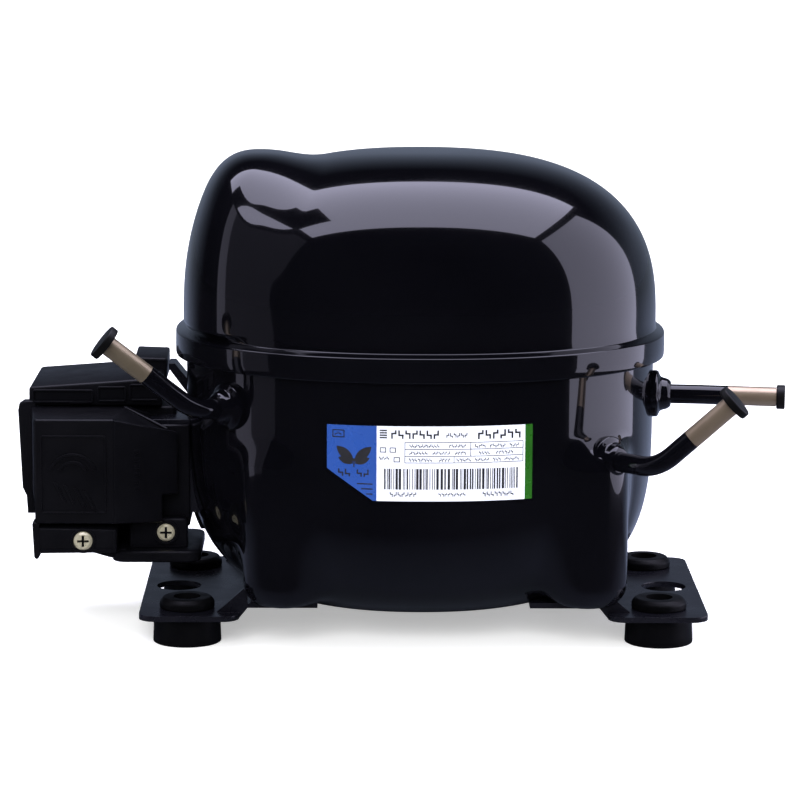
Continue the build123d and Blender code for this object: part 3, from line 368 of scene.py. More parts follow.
def oval_body(p, centre, half, plan_power, rise_power):
    """Rough distance, in mm, to a body that is oval in plan and domed in height."""
    plan = (np.abs((p[..., 0] - centre[0]) / half[0]) ** plan_power
            + np.abs((p[..., 1] - centre[1]) / half[1]) ** plan_power) ** (1 / plan_power)
    whole = (plan ** rise_power + np.abs((p[..., 2] - centre[2]) / half[2]) ** rise_power) ** (1 / rise_power)
    return (whole - 1) * min(half) * 1.1


def spring_pocket(p, x, y):
    """Distance to a round pocket with domed ends, its axis upright."""
    floor, top = POCKET_HEIGHTS
    reach = np.hypot(p[..., 0] - x, p[..., 1] - y) - (POCKET_RADIUS - POCKET_EDGE)
    rise = np.abs(p[..., 2] - (floor + top) / 2) - ((top - floor) / 2 - POCKET_EDGE)
    outside = np.hypot(np.maximum(reach, 0), np.maximum(rise, 0))
    return outside + np.minimum(np.maximum(reach, rise), 0) - POCKET_EDGE


def upper_distance(p):
    """Dome with its raised end, smoothly joined."""
    dome = oval_body(p, (-0.3, 0, DOME_FOOT), DOME, PLAN_POWER, 2.7)
    hump = oval_body(p, (HUMP_X, 0, DOME_FOOT), HUMP, 2.5, 2.65)
    return smooth_union(dome, hump, HUMP_BLEND)


def lower_distance(p):
    """Bowl with its four spring pockets, smoothly joined."""
    straight_above = np.stack([p[..., 0], p[..., 1], np.minimum(p[..., 2], BOWL_TOP)], -1)
    bowl = oval_body(straight_above, (SHELL_X, 0, BOWL_TOP), BOWL, PLAN_POWER, 3.2)
    for sx, sy in itertools.product((-1, 1), repeat=2):
        pocket = spring_pocket(p, CRANK_X + sx * POCKET_AT[0], sy * POCKET_AT[1])
        bowl = smooth_union(bowl, pocket, POCKET_BLEND)
    return bowl


def cast(distance, centre, directions, far=140.0):
    """First crossing of the surface along each direction, by bisection."""
    low, high = np.zeros(directions.shape[:-1]), np.full(directions.shape[:-1], far)
    for _ in range(34):
        middle = (low + high) / 2
        inside = distance(centre + directions * middle[..., None]) < 0
        low, high = np.where(inside, middle, low), np.where(inside, high, middle)
    return centre + directions * low[..., None]


def oval_ring(half_x, half_y, z, centre_x=SHELL_X):
    """Closed ring of points on an oval, evenly spaced in angle."""
    turn = np.linspace(0, 2 * math.pi, AROUND, endpoint=False)
    reach = (np.abs(np.cos(turn) / half_x) ** PLAN_POWER
             + np.abs(np.sin(turn) / half_y) ** PLAN_POWER) ** (-1 / PLAN_POWER)
    return np.stack([centre_x + reach * np.cos(turn), reach * np.sin(turn), np.full(AROUND, z)], -1)


def dome_rows(distance, height, rows, sign, last=89.0):
    """Rings of points from the rim up or down to the pole, cast from the shell's middle at a height."""
    turn = np.linspace(0, 2 * math.pi, AROUND, endpoint=False)
    result = []
    for step in range(rows):
        tilt = math.radians(last * step / (rows - 1)) * sign
        directions = np.stack([np.cos(turn) * math.cos(tilt), np.sin(turn) * math.cos(tilt),
                               np.full(AROUND, math.sin(tilt))], -1)
        result.append(cast(distance, np.array((SHELL_X, 0.0, height)), directions))
    return result


def shell_mesh(name, rings, node):
    """Hollow shell through rings that run from the inner pole over the rim to the outer pole."""
    points = np.concatenate(rings)
    faces = ring_faces(len(rings), AROUND)
    faces.append(tuple(range(AROUND))[::-1])
    faces.append(tuple((len(rings) - 1) * AROUND + c for c in range(AROUND)))
    obj = put(name, points, faces, PAINT, sharp=math.radians(50))
    face_outwards(obj.data)
    stands_for(node)


# the skirt laps over the bowl, turns in over a small round edge, and meets the dome in a small fillet
SEAM_EDGE = 0.7
skirt = [(82.3, 68.3, 108.4), (82.3, 68.3, 107.4), (85.6, 71.6, 106.6), (85.6, 71.6, 101.2),
         (85.9, 71.9, 100.7), (86.4, 72.4, 100.5), (88.4, 74.4, 100.5), (88.85, 74.85, 100.7),
         (89.0, 75.0, 101.2), (89.05, 75.05, 104.0), (89.0, 75.0, 108.6)]
for step in range(1, 7):
    bend = math.radians(70 * step / 6)
    out, rise = SEAM_EDGE * math.cos(bend), SEAM_EDGE * math.sin(bend)
    skirt.append((88.3 + out, 74.3 + out, 108.6 + rise))
skirt.append((87.3, 73.3, 109.7))
for step in range(0, 7):
    bend = math.radians(-110 - 70 * step / 6)
    out, rise = SEAM_EDGE * math.cos(bend), SEAM_EDGE * math.sin(bend)
    skirt.append((86.25 + out, 72.2 + out, 110.8 + rise, -0.7))
upper_rings = dome_rows(lambda p: upper_distance(p) + SHEET, DOME_FOOT, 60, 1)[::-1]
upper_rings += [oval_ring(*level) for level in skirt]
upper_rings += dome_rows(upper_distance, DOME_FOOT, 150, 1)
shell_mesh("upper_shell_skin", upper_rings, "upper_shell")

lower_rings = dome_rows(lambda p: lower_distance(p) + SHEET, BOWL_RAYS_FROM, 100, -1)[::-1]
lower_rings += [oval_ring(BOWL[0] - SHEET, BOWL[1] - SHEET, z) for z in (98.0, BOWL_RIM)]
lower_rings += [oval_ring(BOWL[0], BOWL[1], z) for z in (BOWL_RIM, 103.0, 98.0)]
lower_rings += dome_rows(lower_distance, BOWL_RAYS_FROM, 190, -1)
shell_mesh("lower_shell_skin", lower_rings, "lower_shell")


# ---------------------------------------------------------------- nameplate
LABEL_LIFT, FIELD_LIFT, INK_LIFT, TOP_LIFT = 0.22, 0.02, 0.05, 0.07    # each layer stands off the one below
RULE = 0.22                 # width of the table's lines


def front_wall(x, z, lift):
    """Point on the front of the bowl at x and z, lifted off it."""
    low, high = np.zeros(np.shape(x)), np.full(np.shape(x), 90.0)
    for _ in range(30):
        middle = (low + high) / 2
        inside = lower_distance(np.stack([x, -middle, z], -1)) < 0
        low, high = np.where(inside, middle, low), np.where(inside, high, middle)
    return np.stack([x, -(low + lift), z], -1)


def patch(outline, lift, material_index=0, cell=2.5):
    """Outline in (x, z) laid on the front wall: points, faces and their material index."""
    work = bmesh.new()
    corners = [work.verts.new((x, 0, z)) for x, z in outline]
    work.faces.new(corners)
    low_x, high_x = min(p[0] for p in outline), max(p[0] for p in outline)
    low_z, high_z = min(p[1] for p in outline), max(p[1] for p in outline)
    cuts = [((x, 0, 0), (1, 0, 0)) for x in np.arange(math.ceil(low_x / cell) * cell, high_x, cell)]
    cuts += [((0, 0, z), (0, 0, 1)) for z in np.arange(math.ceil(low_z / cell) * cell, high_z, cell)]
    for point, normal in cuts:
        everything = work.verts[:] + work.edges[:] + work.faces[:]
        bmesh.ops.bisect_plane(work, geom=everything, plane_co=point, plane_no=normal, dist=0.0001)
    work.verts.index_update()
    flat = np.array([v.co[:] for v in work.verts])
    points = front_wall(flat[:, 0], flat[:, 2], lift)
    faces = [tuple(v.index for v in face.verts) for face in work.faces]
    work.free()
    return points, faces, material_index


def print_on(name, patches, materials):
    """One object from several patches."""
    points, faces, indices, first = [], [], [], 0
    for patch_points, patch_faces, index in patches:
        points.append(patch_points)
        for face in patch_faces:
            faces.append(tuple(first + i for i in face))
            indices.append(index)
        first += len(patch_points)
    obj = put(name, np.concatenate(points), faces, materials, sharp=None)
    for polygon, index in zip(obj.data.polygons, indices):
        polygon.material_index = index
        if polygon.normal.y > 0:
            polygon.flip()
    obj.data.update()
    return obj


def bar(x0, z0, x1, z1):
    """Rectangle outline."""
    return [(x0, z0), (x1, z0), (x1, z1), (x0, z1)]


LABEL_X = (-34.5, 37.2)
LABEL_Z = (58.4, 85.0)
CUT = ((-34.5, 69.5), (-18.5, 58.4))
SPLIT = -17.2
WHITE_END = 34.6


def leaf(x, z, length, width, tilt):
    """Pointed leaf outline."""
    c, s = math.cos(tilt), math.sin(tilt)
    points = []
    for side in (1, -1):
        for i in range(12):
            t = i / 12 if side == 1 else 1 - i / 12
            u, v = length * t, side * width * math.sin(math.pi * t) ** 0.8
            points.append((x + c * u - s * v, z + s * u + c * v))
    return points


def greeked(x0, x1, z, height, words, seed):
    """Row of stepped marks that stands for a line of print and spells nothing."""
    rng = np.random.default_rng(seed)
    gaps = (x1 - x0) * 0.16 / max(words - 1, 1)
    share = rng.uniform(0.6, 1.4, words)
    share = share / share.sum() * ((x1 - x0) - gaps * (words - 1))
    rows, x = [], x0
    for width in share:
        marks = max(1, int(width / (height * 0.72)))
        step = width / marks
        stroke = height * 0.19
        for i in range(marks):
            left, right = x + i * step, x + i * step + step * 0.76
            split = z + height * rng.uniform(0.35, 0.65)
            high, low = (left, right - stroke) if rng.random() < 0.5 else (right - stroke, left)
            rows.append(bar(high, split, high + stroke, z + height))
            rows.append(bar(low, z, low + stroke, split))
            rows.append(bar(left, split - stroke / 2, right, split + stroke / 2))
        x += width + gaps
    return rows


WHITE, BLUE, GREEN, BLACK = range(4)
top_left, bottom_right = (LABEL_X[0], LABEL_Z[1]), (LABEL_X[1], LABEL_Z[0])
patches = [patch([top_left, *CUT, bottom_right, (LABEL_X[1], LABEL_Z[1])], LABEL_LIFT, WHITE),
           patch([top_left, *CUT, (SPLIT, LABEL_Z[0]), (SPLIT, LABEL_Z[1])], LABEL_LIFT + FIELD_LIFT, BLUE),
           patch(bar(WHITE_END, LABEL_Z[0], LABEL_X[1], LABEL_Z[1]), LABEL_LIFT + FIELD_LIFT, GREEN)]
black, knocked_out = [], []
# blue field: small framed tag, a pair of leaves on a stem, and two rows of marks
for sides in ((-32.6, 80.6, -28.4, 80.95), (-32.6, 83.0, -28.4, 83.35), (-32.6, 80.6, -32.25, 83.35),
              (-28.75, 80.6, -28.4, 83.35), (-25.3, 70.2, -24.9, 73.4), (-24.0, 64.2, -18.6, 64.6),
              (-22.6, 62.4, -18.6, 62.8), (-20.8, 60.6, -18.6, 61.0)):
    black.append(bar(*sides))
for x, z, length, width, tilt in ((-25.2, 72.2, 8.0, 1.7, 138), (-25.0, 72.2, 8.0, 1.7, 42),
                                  (-25.3, 71.6, 5.6, 1.2, 160), (-24.9, 71.6, 5.6, 1.2, 20)):
    black.append(leaf(x, z, length, width, math.radians(tilt)))
# rows of print: left end, right end, foot, height, number of words, seed
for row in ((-31.8, -29.2, 81.3, 1.3, 1, 3), (-30.6, -19.4, 66.9, 2.6, 2, 5), (-12.2, 5.0, 80.6, 3.0, 1, 7),
            (7.0, 14.6, 81.0, 1.7, 1, 11), (18.0, 33.6, 80.4, 3.2, 1, 13), (-5.8, 14.0, 77.4, 1.3, 2, 17),
            (17.0, 32.6, 77.3, 1.4, 3, 19), (-5.8, 14.0, 74.9, 1.3, 3, 23), (18.4, 30.6, 74.9, 1.3, 2, 29),
            (-6.0, 8.6, 72.5, 1.3, 2, 31), (10.6, 32.6, 72.5, 1.3, 4, 37), (-16.4, -12.6, 73.0, 1.3, 1, 41),
            (-12.6, -3.0, 59.9, 1.8, 1, 47), (4.4, 14.0, 60.1, 1.4, 1, 53), (19.8, 31.0, 59.9, 1.8, 1, 59)):
    black += greeked(*row)
# white field: mark beside the heading, ruled table, three small frames and the bar code
black += [bar(-16.2, 80.7 + 0.85 * i, -13.6, 81.2 + 0.85 * i) for i in range(4)]
black += [bar(-7.5, z, 33.9, z + RULE) for z in (79.2, 76.8, 74.3, 72.0)]
black += [bar(x, z0, x + RULE, z1) for x, z0, z1 in ((-7.5, 72.0, 79.3), (15.4, 74.3, 79.3),
                                                    (33.75, 72.0, 79.3), (9.6, 72.0, 74.4))]
for x, z in ((-15.0, 76.6), (-11.6, 76.6), (-10.2, 73.2)):
    black.append(bar(x - 1.1, z - 0.9, x + 1.1, z + 0.9))
    knocked_out.append(bar(x - 0.8, z - 0.6, x + 0.8, z + 0.6))
rng = np.random.default_rng(43)
x = -14.6
while x < 31.8:
    width = float(rng.choice([0.28, 0.28, 0.55, 0.85]))
    black.append(bar(x, 62.6, x + width, 70.0))
    x += width + float(rng.choice([0.26, 0.45, 0.62]))
patches += [patch(outline, LABEL_LIFT + INK_LIFT, BLACK) for outline in black]
patches += [patch(outline, LABEL_LIFT + TOP_LIFT, WHITE) for outline in knocked_out]
nameplate = print_on("nameplate", patches, [LABEL_WHITE, LABEL_BLUE, LABEL_GREEN, LABEL_BLACK])
stands_for("label")

# ---------------------------------------------------------------- connector tubes, collars and caps
TUBE, BORE, BORE_DEPTH = 3.5, 2.7, 9
# seat, way out, length to the bend's corner, bend radius, free end, cap radius, where the paint stops
CONNECTORS = {
    "discharge": ((-68.5, -46.0, 87.6), (-0.76, -0.65, 0), 16.5, 14, (-111.0, -60.0, 111.4), 6.3, -97.3),
    "suction": ((82.5, -13.0, 87.0), (0.99, -0.12, 0), 17.5, 6, (127.6, -18.4, 86.7), 4.4, 110.0),
    "process": ((63.6, -51.0, 69.8), (0.69, -0.72, 0), 24.5, 14, (105.5, -73.0, 93.0), 6.3, 92.2),
}


def bent_route(seat, outward, straight, bend, free_end, inside=4.0, steps=20):
    """Centre line: straight out of the shell, one bend, straight to the free end."""
    seat, end = Vector(seat), Vector(free_end)
    first = Vector(outward).normalized()
    corner = seat + first * straight
    second = (end - corner).normalized()
    turn = first.angle(second)
    reach = bend * math.tan(turn / 2)
    centre = corner - first * reach + (second - first * first.dot(second)).normalized() * bend
    start = corner - first * reach
    points = [seat - first * inside]
    points += [points[0].lerp(start, i / 8) for i in range(1, 8)]
    axis = first.cross(second).normalized()
    for i in range(steps + 1):
        spoke = Matrix.Rotation(turn * i / steps, 3, axis) @ (start - centre)
        points.append(centre + spoke)
    last = points[-1]
    points += [last.lerp(end, i / 24) for i in range(1, 25)]
    return points, second


def sweep(name, points, materials, border_x, away, around=48):
    """Tube along points; the rows whose centre lies beyond border_x take the second material."""
    rows = []
    side, up = across((points[1] - points[0]))
    before = (points[1] - points[0]).normalized()
    for i, point in enumerate(points):
        ahead = (points[min(i + 1, len(points) - 1)] - points[max(i - 1, 0)]).normalized()
        turn = before.rotation_difference(ahead)
        side, up, before = turn @ side, turn @ up, ahead
        rows.append((point, side.copy(), up.copy(), TUBE))
    rows.append((points[-1], side, up, BORE))
    rows.append((points[-1] - before * BORE_DEPTH, side, up, BORE))
    flat = []
    for point, s, u, r in rows:
        for step in range(around):
            turn = 2 * math.pi * step / around
            flat.append(point + (s * math.cos(turn) + u * math.sin(turn)) * r)
    obj = put(name, flat, ring_faces(len(rows), around), materials)
    for index, polygon in enumerate(obj.data.polygons):
        if (rows[index // around][0].x - border_x) * away > 0:
            polygon.material_index = 1
    face_outwards(obj.data)
    return obj


STEM = 2.62
COLLAR = [(TUBE + 0.05, -4), (7.0, -4), (8.5, 0.6), (8.5, 2.6), (6.2, 3.6), (5.4, 6.4), (4.4, 7.4),
          (TUBE + 0.05, 7.4)]
for name, (seat, outward, straight, bend, free_end, cap_radius, border) in CONNECTORS.items():
    collar = lathe(f"{name}_weld_collar", COLLAR, seat, outward, PAINT, radius=0.7)
    stands_for(f"{name}_collar")
    route, way_out = bent_route(seat, outward, straight, bend, free_end)
    metal = DARKER_COPPER if name == "discharge" else COPPER
    tube = sweep(f"{name}_connector", route, [PAINT, metal], border, math.copysign(1, free_end[0]))
    stands_for(f"{name}_tube")
    brim = 3.2 if name == "suction" else 2.8
    plug = [(0, -BORE_DEPTH), (STEM, -BORE_DEPTH), (STEM, 0.06), (cap_radius, 0.06), (cap_radius, brim),
            (0, brim)]
    cap = lathe(f"{name}_plug_cap", plug, free_end, way_out, CAP_RUBBER, body=f"{name}_plug", radius=0.55)
    stands_for(f"{name}_cap")

# ---------------------------------------------------------------- grommets
FOOT_X, FOOT_Y = 85, 35
GROMMET = [(4.9, 0.0), (12.3, 0.0), (12.1, 5.0), (11.95, 10.25), (6.95, 10.3), (6.95, 12.3), (9.9, 12.35),
           (9.9, 14.7), (8.5, 16.3), (4.9, 16.3)]
for sx, end in ((-1, "left"), (1, "right")):
    for sy, face in ((-1, "front"), (1, "rear")):
        foot = lathe(f"rubber_foot_{face}_{end}", GROMMET, (sx * FOOT_X, sy * FOOT_Y, 0), (0, 0, 1), RUBBER,
                     radius=0.6)
        stands_for(f"grommet_{face}_{end}")

# ---------------------------------------------------------------- terminal cover, box and wiring block
FRONT_Y, BACK_Y = -38.0, -6.0
SLANT_X, SLANT = -110.7, (21.0, 13.0, 0)
MARK_Y = FRONT_Y - 0.05
MARK_X, MARK_Z = -125.4, 60.0


def ridge(start, end, width=0.5):
    """Thin raised bar between two points."""
    corners = [tuple(c + d for c, d in zip(point, offset)) for point in (start, end)
               for offset in itertools.product((-width, width), repeat=3)]
    return hull(corners, bevel=width * 0.35, segments=2)


def on_front(loops, thickness, bevel, y):
    """Flat plate that looks to the front, its middle plane at y."""
    return slab(loops, thickness, bevel, frame_at((0, y, 0), (1, 0, 0), (0, 0, 1)))


def on_slant(loops, thickness, bevel, y):
    """Flat plate on the slanting face, its drawing's x measured from the front corner."""
    return slab(loops, thickness, bevel, frame_at((SLANT_X, y, 0), SLANT, (0, 0, 1)))


def rim(x0, z0, x1, z1, y, wide=0.7, proud=1.0, radius=1.0):
    """Raised rectangular frame on a face that looks to the front."""
    inner = round_rectangle(x0 + wide, z0 + wide, x1 - wide, z1 - wide, max(radius - wide, 0.3))
    return on_front([round_rectangle(x0, z0, x1, z1, radius), inner[::-1]], proud, 0.2, y)


front_panel = on_front([round_rectangle(-139.1, 43.2, -110.4, 81.1, 0.9)], 4.0, 0.8, FRONT_Y + 2.0)
slant_panel = on_slant([[(-1.2, 81.0), (-1.2, 43.2), (18.6, 41.7), (18.6, 51.8), (24.9, 51.6), (24.9, 74.2)]],
                       4.0, 0.7, -35.8)
upper_body = hull([(-139.4, -36.5, 80.7), (-139.4, -36.5, 51.0), (-111.0, -36.5, 80.7),
                   (-111.0, -36.5, 51.0), (-91.6, -23.4, 73.8), (-91.6, -23.4, 52.2), (-91.4, BACK_Y, 74.6),
                   (-91.4, BACK_Y, 52.2), (-108.0, -10.0, 81.0), (-108.0, BACK_Y, 81.0),
                   (-143.0, BACK_Y, 81.0), (-143.0, BACK_Y, 51.0)], bevel=0.7)
lower_body = hull([(-139.2, -36.5, 53.0), (-138.6, -36.5, 43.4), (-112.0, -36.5, 53.0),
                   (-112.0, -36.5, 43.4), (-97.2, -27.0, 53.0), (-97.2, -27.0, 42.4), (-97.2, BACK_Y, 53.0),
                   (-97.2, BACK_Y, 42.4), (-142.0, BACK_Y, 53.0), (-141.4, BACK_Y, 42.4)], bevel=0.6)
strip = hull([(-139.6, -37.6, 41.6), (-109.9, -37.6, 41.0), (-109.9, -37.6, 32.6), (-139.6, -37.6, 32.2),
              (-139.6, BACK_Y, 44.2), (-109.9, BACK_Y, 44.2), (-109.9, BACK_Y, 32.6),
              (-139.6, BACK_Y, 32.2)], bevel=0.7)
lip = hull([(-140.2, -37.9, 43.6), (-137.6, -37.9, 43.6), (-137.2, -37.9, 31.8), (-138.4, -37.9, 30.0),
            (-139.6, -37.9, 30.6), (-140.2, -30.0, 43.6), (-137.6, -30.0, 43.6), (-137.2, -30.0, 31.8),
            (-138.4, -30.0, 30.0), (-139.6, -30.0, 30.6)], bevel=0.6)
strip_rim = [ridge((-136.9, -37.7, 33.4), (-111.4, -37.7, 33.8), 0.3),
             ridge((-110.7, -37.6, 34.0), (-110.7, -37.6, 40.6), 0.3)]
pad = on_front([round_rectangle(-106.2, 31.2, -85.2, 42.6, 1.6)], 7.0, 0.9, -21.5)
pad_rim = [ridge((-105.2, -25.1, 33.0), (-105.2, -25.1, 41.6), 0.3),
           ridge((-104.6, -25.1, 32.3), (-87.0, -25.1, 32.3), 0.3)]
seats = []
for x, y, z in ((-122.0, -37.7, 37.0), (-93.0, -25.2, 37.5)):
    seats.append(on_front([circle(x, z, 4.5), circle(x, z, 3.7)[::-1]], 1.0, 0.2, y))
rear_flange = on_front([[(-147.3, 79.6), (-146.8, 82.0), (-145.0, 83.2), (-140.6, 83.2), (-140.6, 41.4),
                         (-144.2, 41.4), (-144.6, 48.0), (-146.0, 51.0)][::-1]], 4.6, 0.9, -8.4)
relief = [rim(-136.8, 47.2, -113.4, 75.4, MARK_Y, wide=0.5, proud=0.7)]
# moulded sun-and-rays mark: two arcs over slanted bars
for radius, first, last in ((8.4, 20, 160), (5.6, 30, 150)):
    outer, inner = radius + 0.55, radius - 0.55
    rounds = ((outer, range(first, last + 1, 10)), (inner, range(last, first - 1, -10)))
    arc = [(MARK_X + r * math.cos(math.radians(a)), MARK_Z + r * math.sin(math.radians(a)))
           for r, turns in rounds for a in turns]
    relief.append(on_front([arc], 1.0, 0.2, MARK_Y))
for i in range(4):
    x, z = -132.4 + 3.6 * i, 58.6 - 1.1 * i
    slanted_bar = [(x, z), (x + 1.3, z - 0.5), (x + 4.6, z - 7.4), (x + 3.3, z - 6.9)]
    relief.append(on_front([slanted_bar], 1.0, 0.2, MARK_Y))
for i in range(6):
    foot = 54.4 + 2.7 * i
    relief.append(on_slant([round_rectangle(8.0, foot, 10.2, foot + 1.4, 0.4)], 0.7, 0.15, -37.9))
facets = [ridge((-108.4, -11.0, 81.0), (-94.0, -9.0, 76.2), 0.45),
          ridge((-108.4, -11.5, 81.0), (-92.6, -22.0, 74.9), 0.45)]
cover_parts = [front_panel, slant_panel, upper_body, lower_body, strip, lip, pad, rear_flange]
cover_parts += strip_rim + pad_rim + seats + relief + facets
cover = place("terminal_cover_moulding", merge(cover_parts), PLASTIC)
stands_for("terminal_cover")

box_body = hull(block_points((-141.8, BACK_Y + 0.05, 31.2), (-90.2, 33.9, 80.4)), bevel=1.4)
side_wing = hull(block_points((-96, -19.0, 38.5), (-84.5, 18, 76.0)), bevel=1.0)
under_pad = slab([round_rectangle(-112.3, -31.8, -80.2, 9.8, 5.0)], 4.2, 1.0,
                 frame_at((0, 0, 29.8), (1, 0, 0), (0, 1, 0)))
under_rib = hull([(-124.0, -30.0, 32.4), (-113.0, -30.0, 29.2), (-107.0, -30.0, 28.4),
                  (-107.0, -30.0, 32.4), (-124.0, -6.0, 32.4), (-113.0, -6.0, 29.2), (-107.0, -6.0, 28.4),
                  (-107.0, -6.0, 32.4)], bevel=0.6)
back_ribs = [hull(block_points((x, 33.0, 36.0), (x + 1.6, 34.6, 76.0)), bevel=0.4)
             for x in np.linspace(-134, -100, 5)]
box = place("terminal_box_moulding", merge([box_body, side_wing, under_pad, under_rib] + back_ribs), PLASTIC)
stands_for("terminal_box")

wiring = hull([(-143.3, -10.0, 81.2), (-143.3, -10.0, 88.1), (-95.0, -10.0, 91.6), (-95.0, -10.0, 81.2),
               (-142.3, 29.9, 81.2), (-142.3, 29.9, 89.3), (-95.0, 29.9, 92.8),
               (-95.0, 29.9, 81.2)], bevel=1.1)
rear_block = hull([(-105.9, 7.0, 88.0), (-105.9, 7.0, 96.4), (-94.0, 7.0, 96.0), (-94.0, 7.0, 88.0),
                   (-105.9, 29.8, 88.0), (-105.9, 29.8, 97.2), (-94.0, 29.8, 96.8),
                   (-94.0, 29.8, 88.0)], bevel=0.7)
windows = [rim(-142.0, 82.4, -119.8, 87.3, -10.3), rim(-118.4, 82.8, -107.8, 88.5, -10.3),
           rim(-106.8, 83.2, -96.0, 89.4, -10.3), ridge((-128.0, -10.9, 82.6), (-121.0, -10.9, 82.8), 0.4),
           ridge((-105.2, 6.8, 89.6), (-105.2, 6.8, 95.6), 0.4),
           ridge((-104.6, 6.8, 95.7), (-94.8, 6.8, 95.3), 0.4)]
wiring_block = place("wiring_block_moulding", merge([wiring, rear_block] + windows), PLASTIC)
stands_for("terminal_block")

# ---------------------------------------------------------------- CAD nodes that stay, with broken edges
FINISH = {
    "shell_paint": PAINT, "plate_paint": PLATE_PAINT, "tube_metal": COPPER, "grommet_rubber": RUBBER,
    "cap_rubber": CAP_RUBBER, "box_plastic": PLASTIC, "relay_plastic": PLASTIC_DARK, "white_plastic": IVORY,
    "label_film": LABEL_WHITE, "zinc_screw": ZINC, "bright_steel": STEEL, "spring_steel": SPRING,
    "terminal_glass": GLASS, "laminations": LAMINATION, "copper_wire": WINDING, "cast_aluminium": ALUMINIUM,
    "grey_iron": IRON, "gasket_fibre": GASKET, "wire_sleeve": SLEEVE,
}
slot_of = {part["node"]: part["material_slot"] for part in frame["record"]["subparts"]}
BROKEN_EDGE = {"base_plate_left": 0.45, "base_plate_right": 0.45, "terminal_bracket": 0.3,
               "cover_screws": 0.12}
for node, obj in frame["nodes"].items():
    finish = FINISH[slot_of[node]]
    if not obj.material_slots:
        obj.data.materials.append(finish)
    for material_slot in obj.material_slots:
        material_slot.material = finish
    if node in BROKEN_EDGE:
        weld = obj.modifiers.new("weld", "WELD")
        weld.merge_threshold = 0.000002
        edge = obj.modifiers.new("broken_edge", "BEVEL")
        edge.width = BROKEN_EDGE[node] * MM
        edge.segments = 2
        edge.limit_method = "ANGLE"
        edge.angle_limit = math.radians(35)
        edge.harden_normals = True

# ---------------------------------------------------------------- stage
FLOOR_HALF = 6.0
PAINTED_GLOSS_FLOOR_REACH = (0.50, 0.225)    # how far the painted bright floor that shows in the gloss paint reaches, in x and y
FLOOR_GLOW = 0.42
BEHIND = (0.22, 1.0, 0.0)       # the soft backdrop stands behind the compressor, a little to its right; the floor is also painted brighter that way in the gloss paint
COOL = (0.77, 0.755, 1.0)


def glow(tree, switch):
    """Small constant, only where the switch is on."""
    scale = tree.nodes.new("ShaderNodeMath")
    scale.operation = "MULTIPLY"
    scale.inputs[1].default_value = FLOOR_GLOW
    tree.links.new(switch, scale.inputs[0])
    return scale.outputs[0]


def stage_floor():
    """Pale floor; the colour it shows in the gloss paint is painted: dark, with painted bright patches close
    to the compressor and behind it.
    """
    mesh = bpy.data.meshes.new("floor")
    corners = [(sx * FLOOR_HALF, sy * FLOOR_HALF, 0) for sx, sy in ((-1, -1), (1, -1), (1, 1), (-1, 1))]
    mesh.from_pydata(corners, [], [(0, 1, 2, 3)])
    floor = bpy.data.objects.new("floor", mesh)
    bpy.context.collection.objects.link(floor)
    material, tree, shader = new_material("pale_floor")
    shader.inputs["Roughness"].default_value = 0.9
    shader.inputs["Specular IOR Level"].default_value = 0.1
    # painted reflection: in the gloss paint, only the floor close to the compressor and the floor behind it
    # are bright, and the rest is painted dark
    coords = tree.nodes.new("ShaderNodeTexCoord")
    scaled = tree.nodes.new("ShaderNodeMapping")
    scaled.inputs["Scale"].default_value = (1 / PAINTED_GLOSS_FLOOR_REACH[0], 1 / PAINTED_GLOSS_FLOOR_REACH[1], 1)
    reach = tree.nodes.new("ShaderNodeVectorMath")
    reach.operation = "LENGTH"
    tree.links.new(coords.outputs["Object"], scaled.inputs["Vector"])
    tree.links.new(scaled.outputs["Vector"], reach.inputs[0])
    painted_near_floor_reflection = ramp(tree, reach.outputs["Value"], (0.075, 0.085, 0.115), (0.003, 0.003, 0.004), 0.20, 0.58)
    bearing = tree.nodes.new("ShaderNodeVectorMath")
    bearing.operation = "NORMALIZE"
    tree.links.new(coords.outputs["Object"], bearing.inputs[0])
    behind = tree.nodes.new("ShaderNodeVectorMath")
    behind.operation = "DOT_PRODUCT"
    behind.inputs[1].default_value = BEHIND
    tree.links.new(bearing.outputs["Vector"], behind.inputs[0])
    # painted reflection: the floor is painted brighter in the gloss paint towards the backdrop
    backdrop = ramp(tree, behind.outputs["Value"], (0, 0, 0), (0.105, 0.125, 0.165), 0.30, 0.80)
    painted_floor_reflection = tree.nodes.new("ShaderNodeMix")
    painted_floor_reflection.data_type = "RGBA"
    painted_floor_reflection.blend_type = "LIGHTEN"
    painted_floor_reflection.inputs[0].default_value = 1.0
    tree.links.new(painted_near_floor_reflection, painted_floor_reflection.inputs[6])
    tree.links.new(backdrop, painted_floor_reflection.inputs[7])
    # camera and diffuse rays see the pale floor; glossy rays see the painted reflection colour
    path = tree.nodes.new("ShaderNodeLightPath")
    mix = tree.nodes.new("ShaderNodeMix")
    mix.data_type = "RGBA"
    mix.inputs[6].default_value = (0.92, 0.92, 0.92, 1)
    tree.links.new(painted_floor_reflection.outputs[2], mix.inputs[7])
    tree.links.new(path.outputs["Is Glossy Ray"], mix.inputs[0])
    tree.links.new(mix.outputs[2], shader.inputs["Base Color"])
    shader.inputs["Emission Color"].default_value = (1, 1, 1, 1)
    tree.links.new(glow(tree, path.outputs["Is Camera Ray"]), shader.inputs["Emission Strength"])
    mesh.materials.append(material)


def area_light(name, position, target, size, power):
    """Rectangular soft light that faces its target; it stays out of the picture itself."""
    data = bpy.data.lights.new(name, "AREA")
    data.shape = "RECTANGLE"
    data.size, data.size_y = size
    data.energy = power
    data.color = COOL
    lamp = bpy.data.objects.new(name, data)
    lamp.location = position
    lamp.rotation_euler = (Vector(target) - Vector(position)).to_track_quat("-Z", "Y").to_euler()
    lamp.visible_camera = False
    bpy.context.collection.objects.link(lamp)


stage_floor()
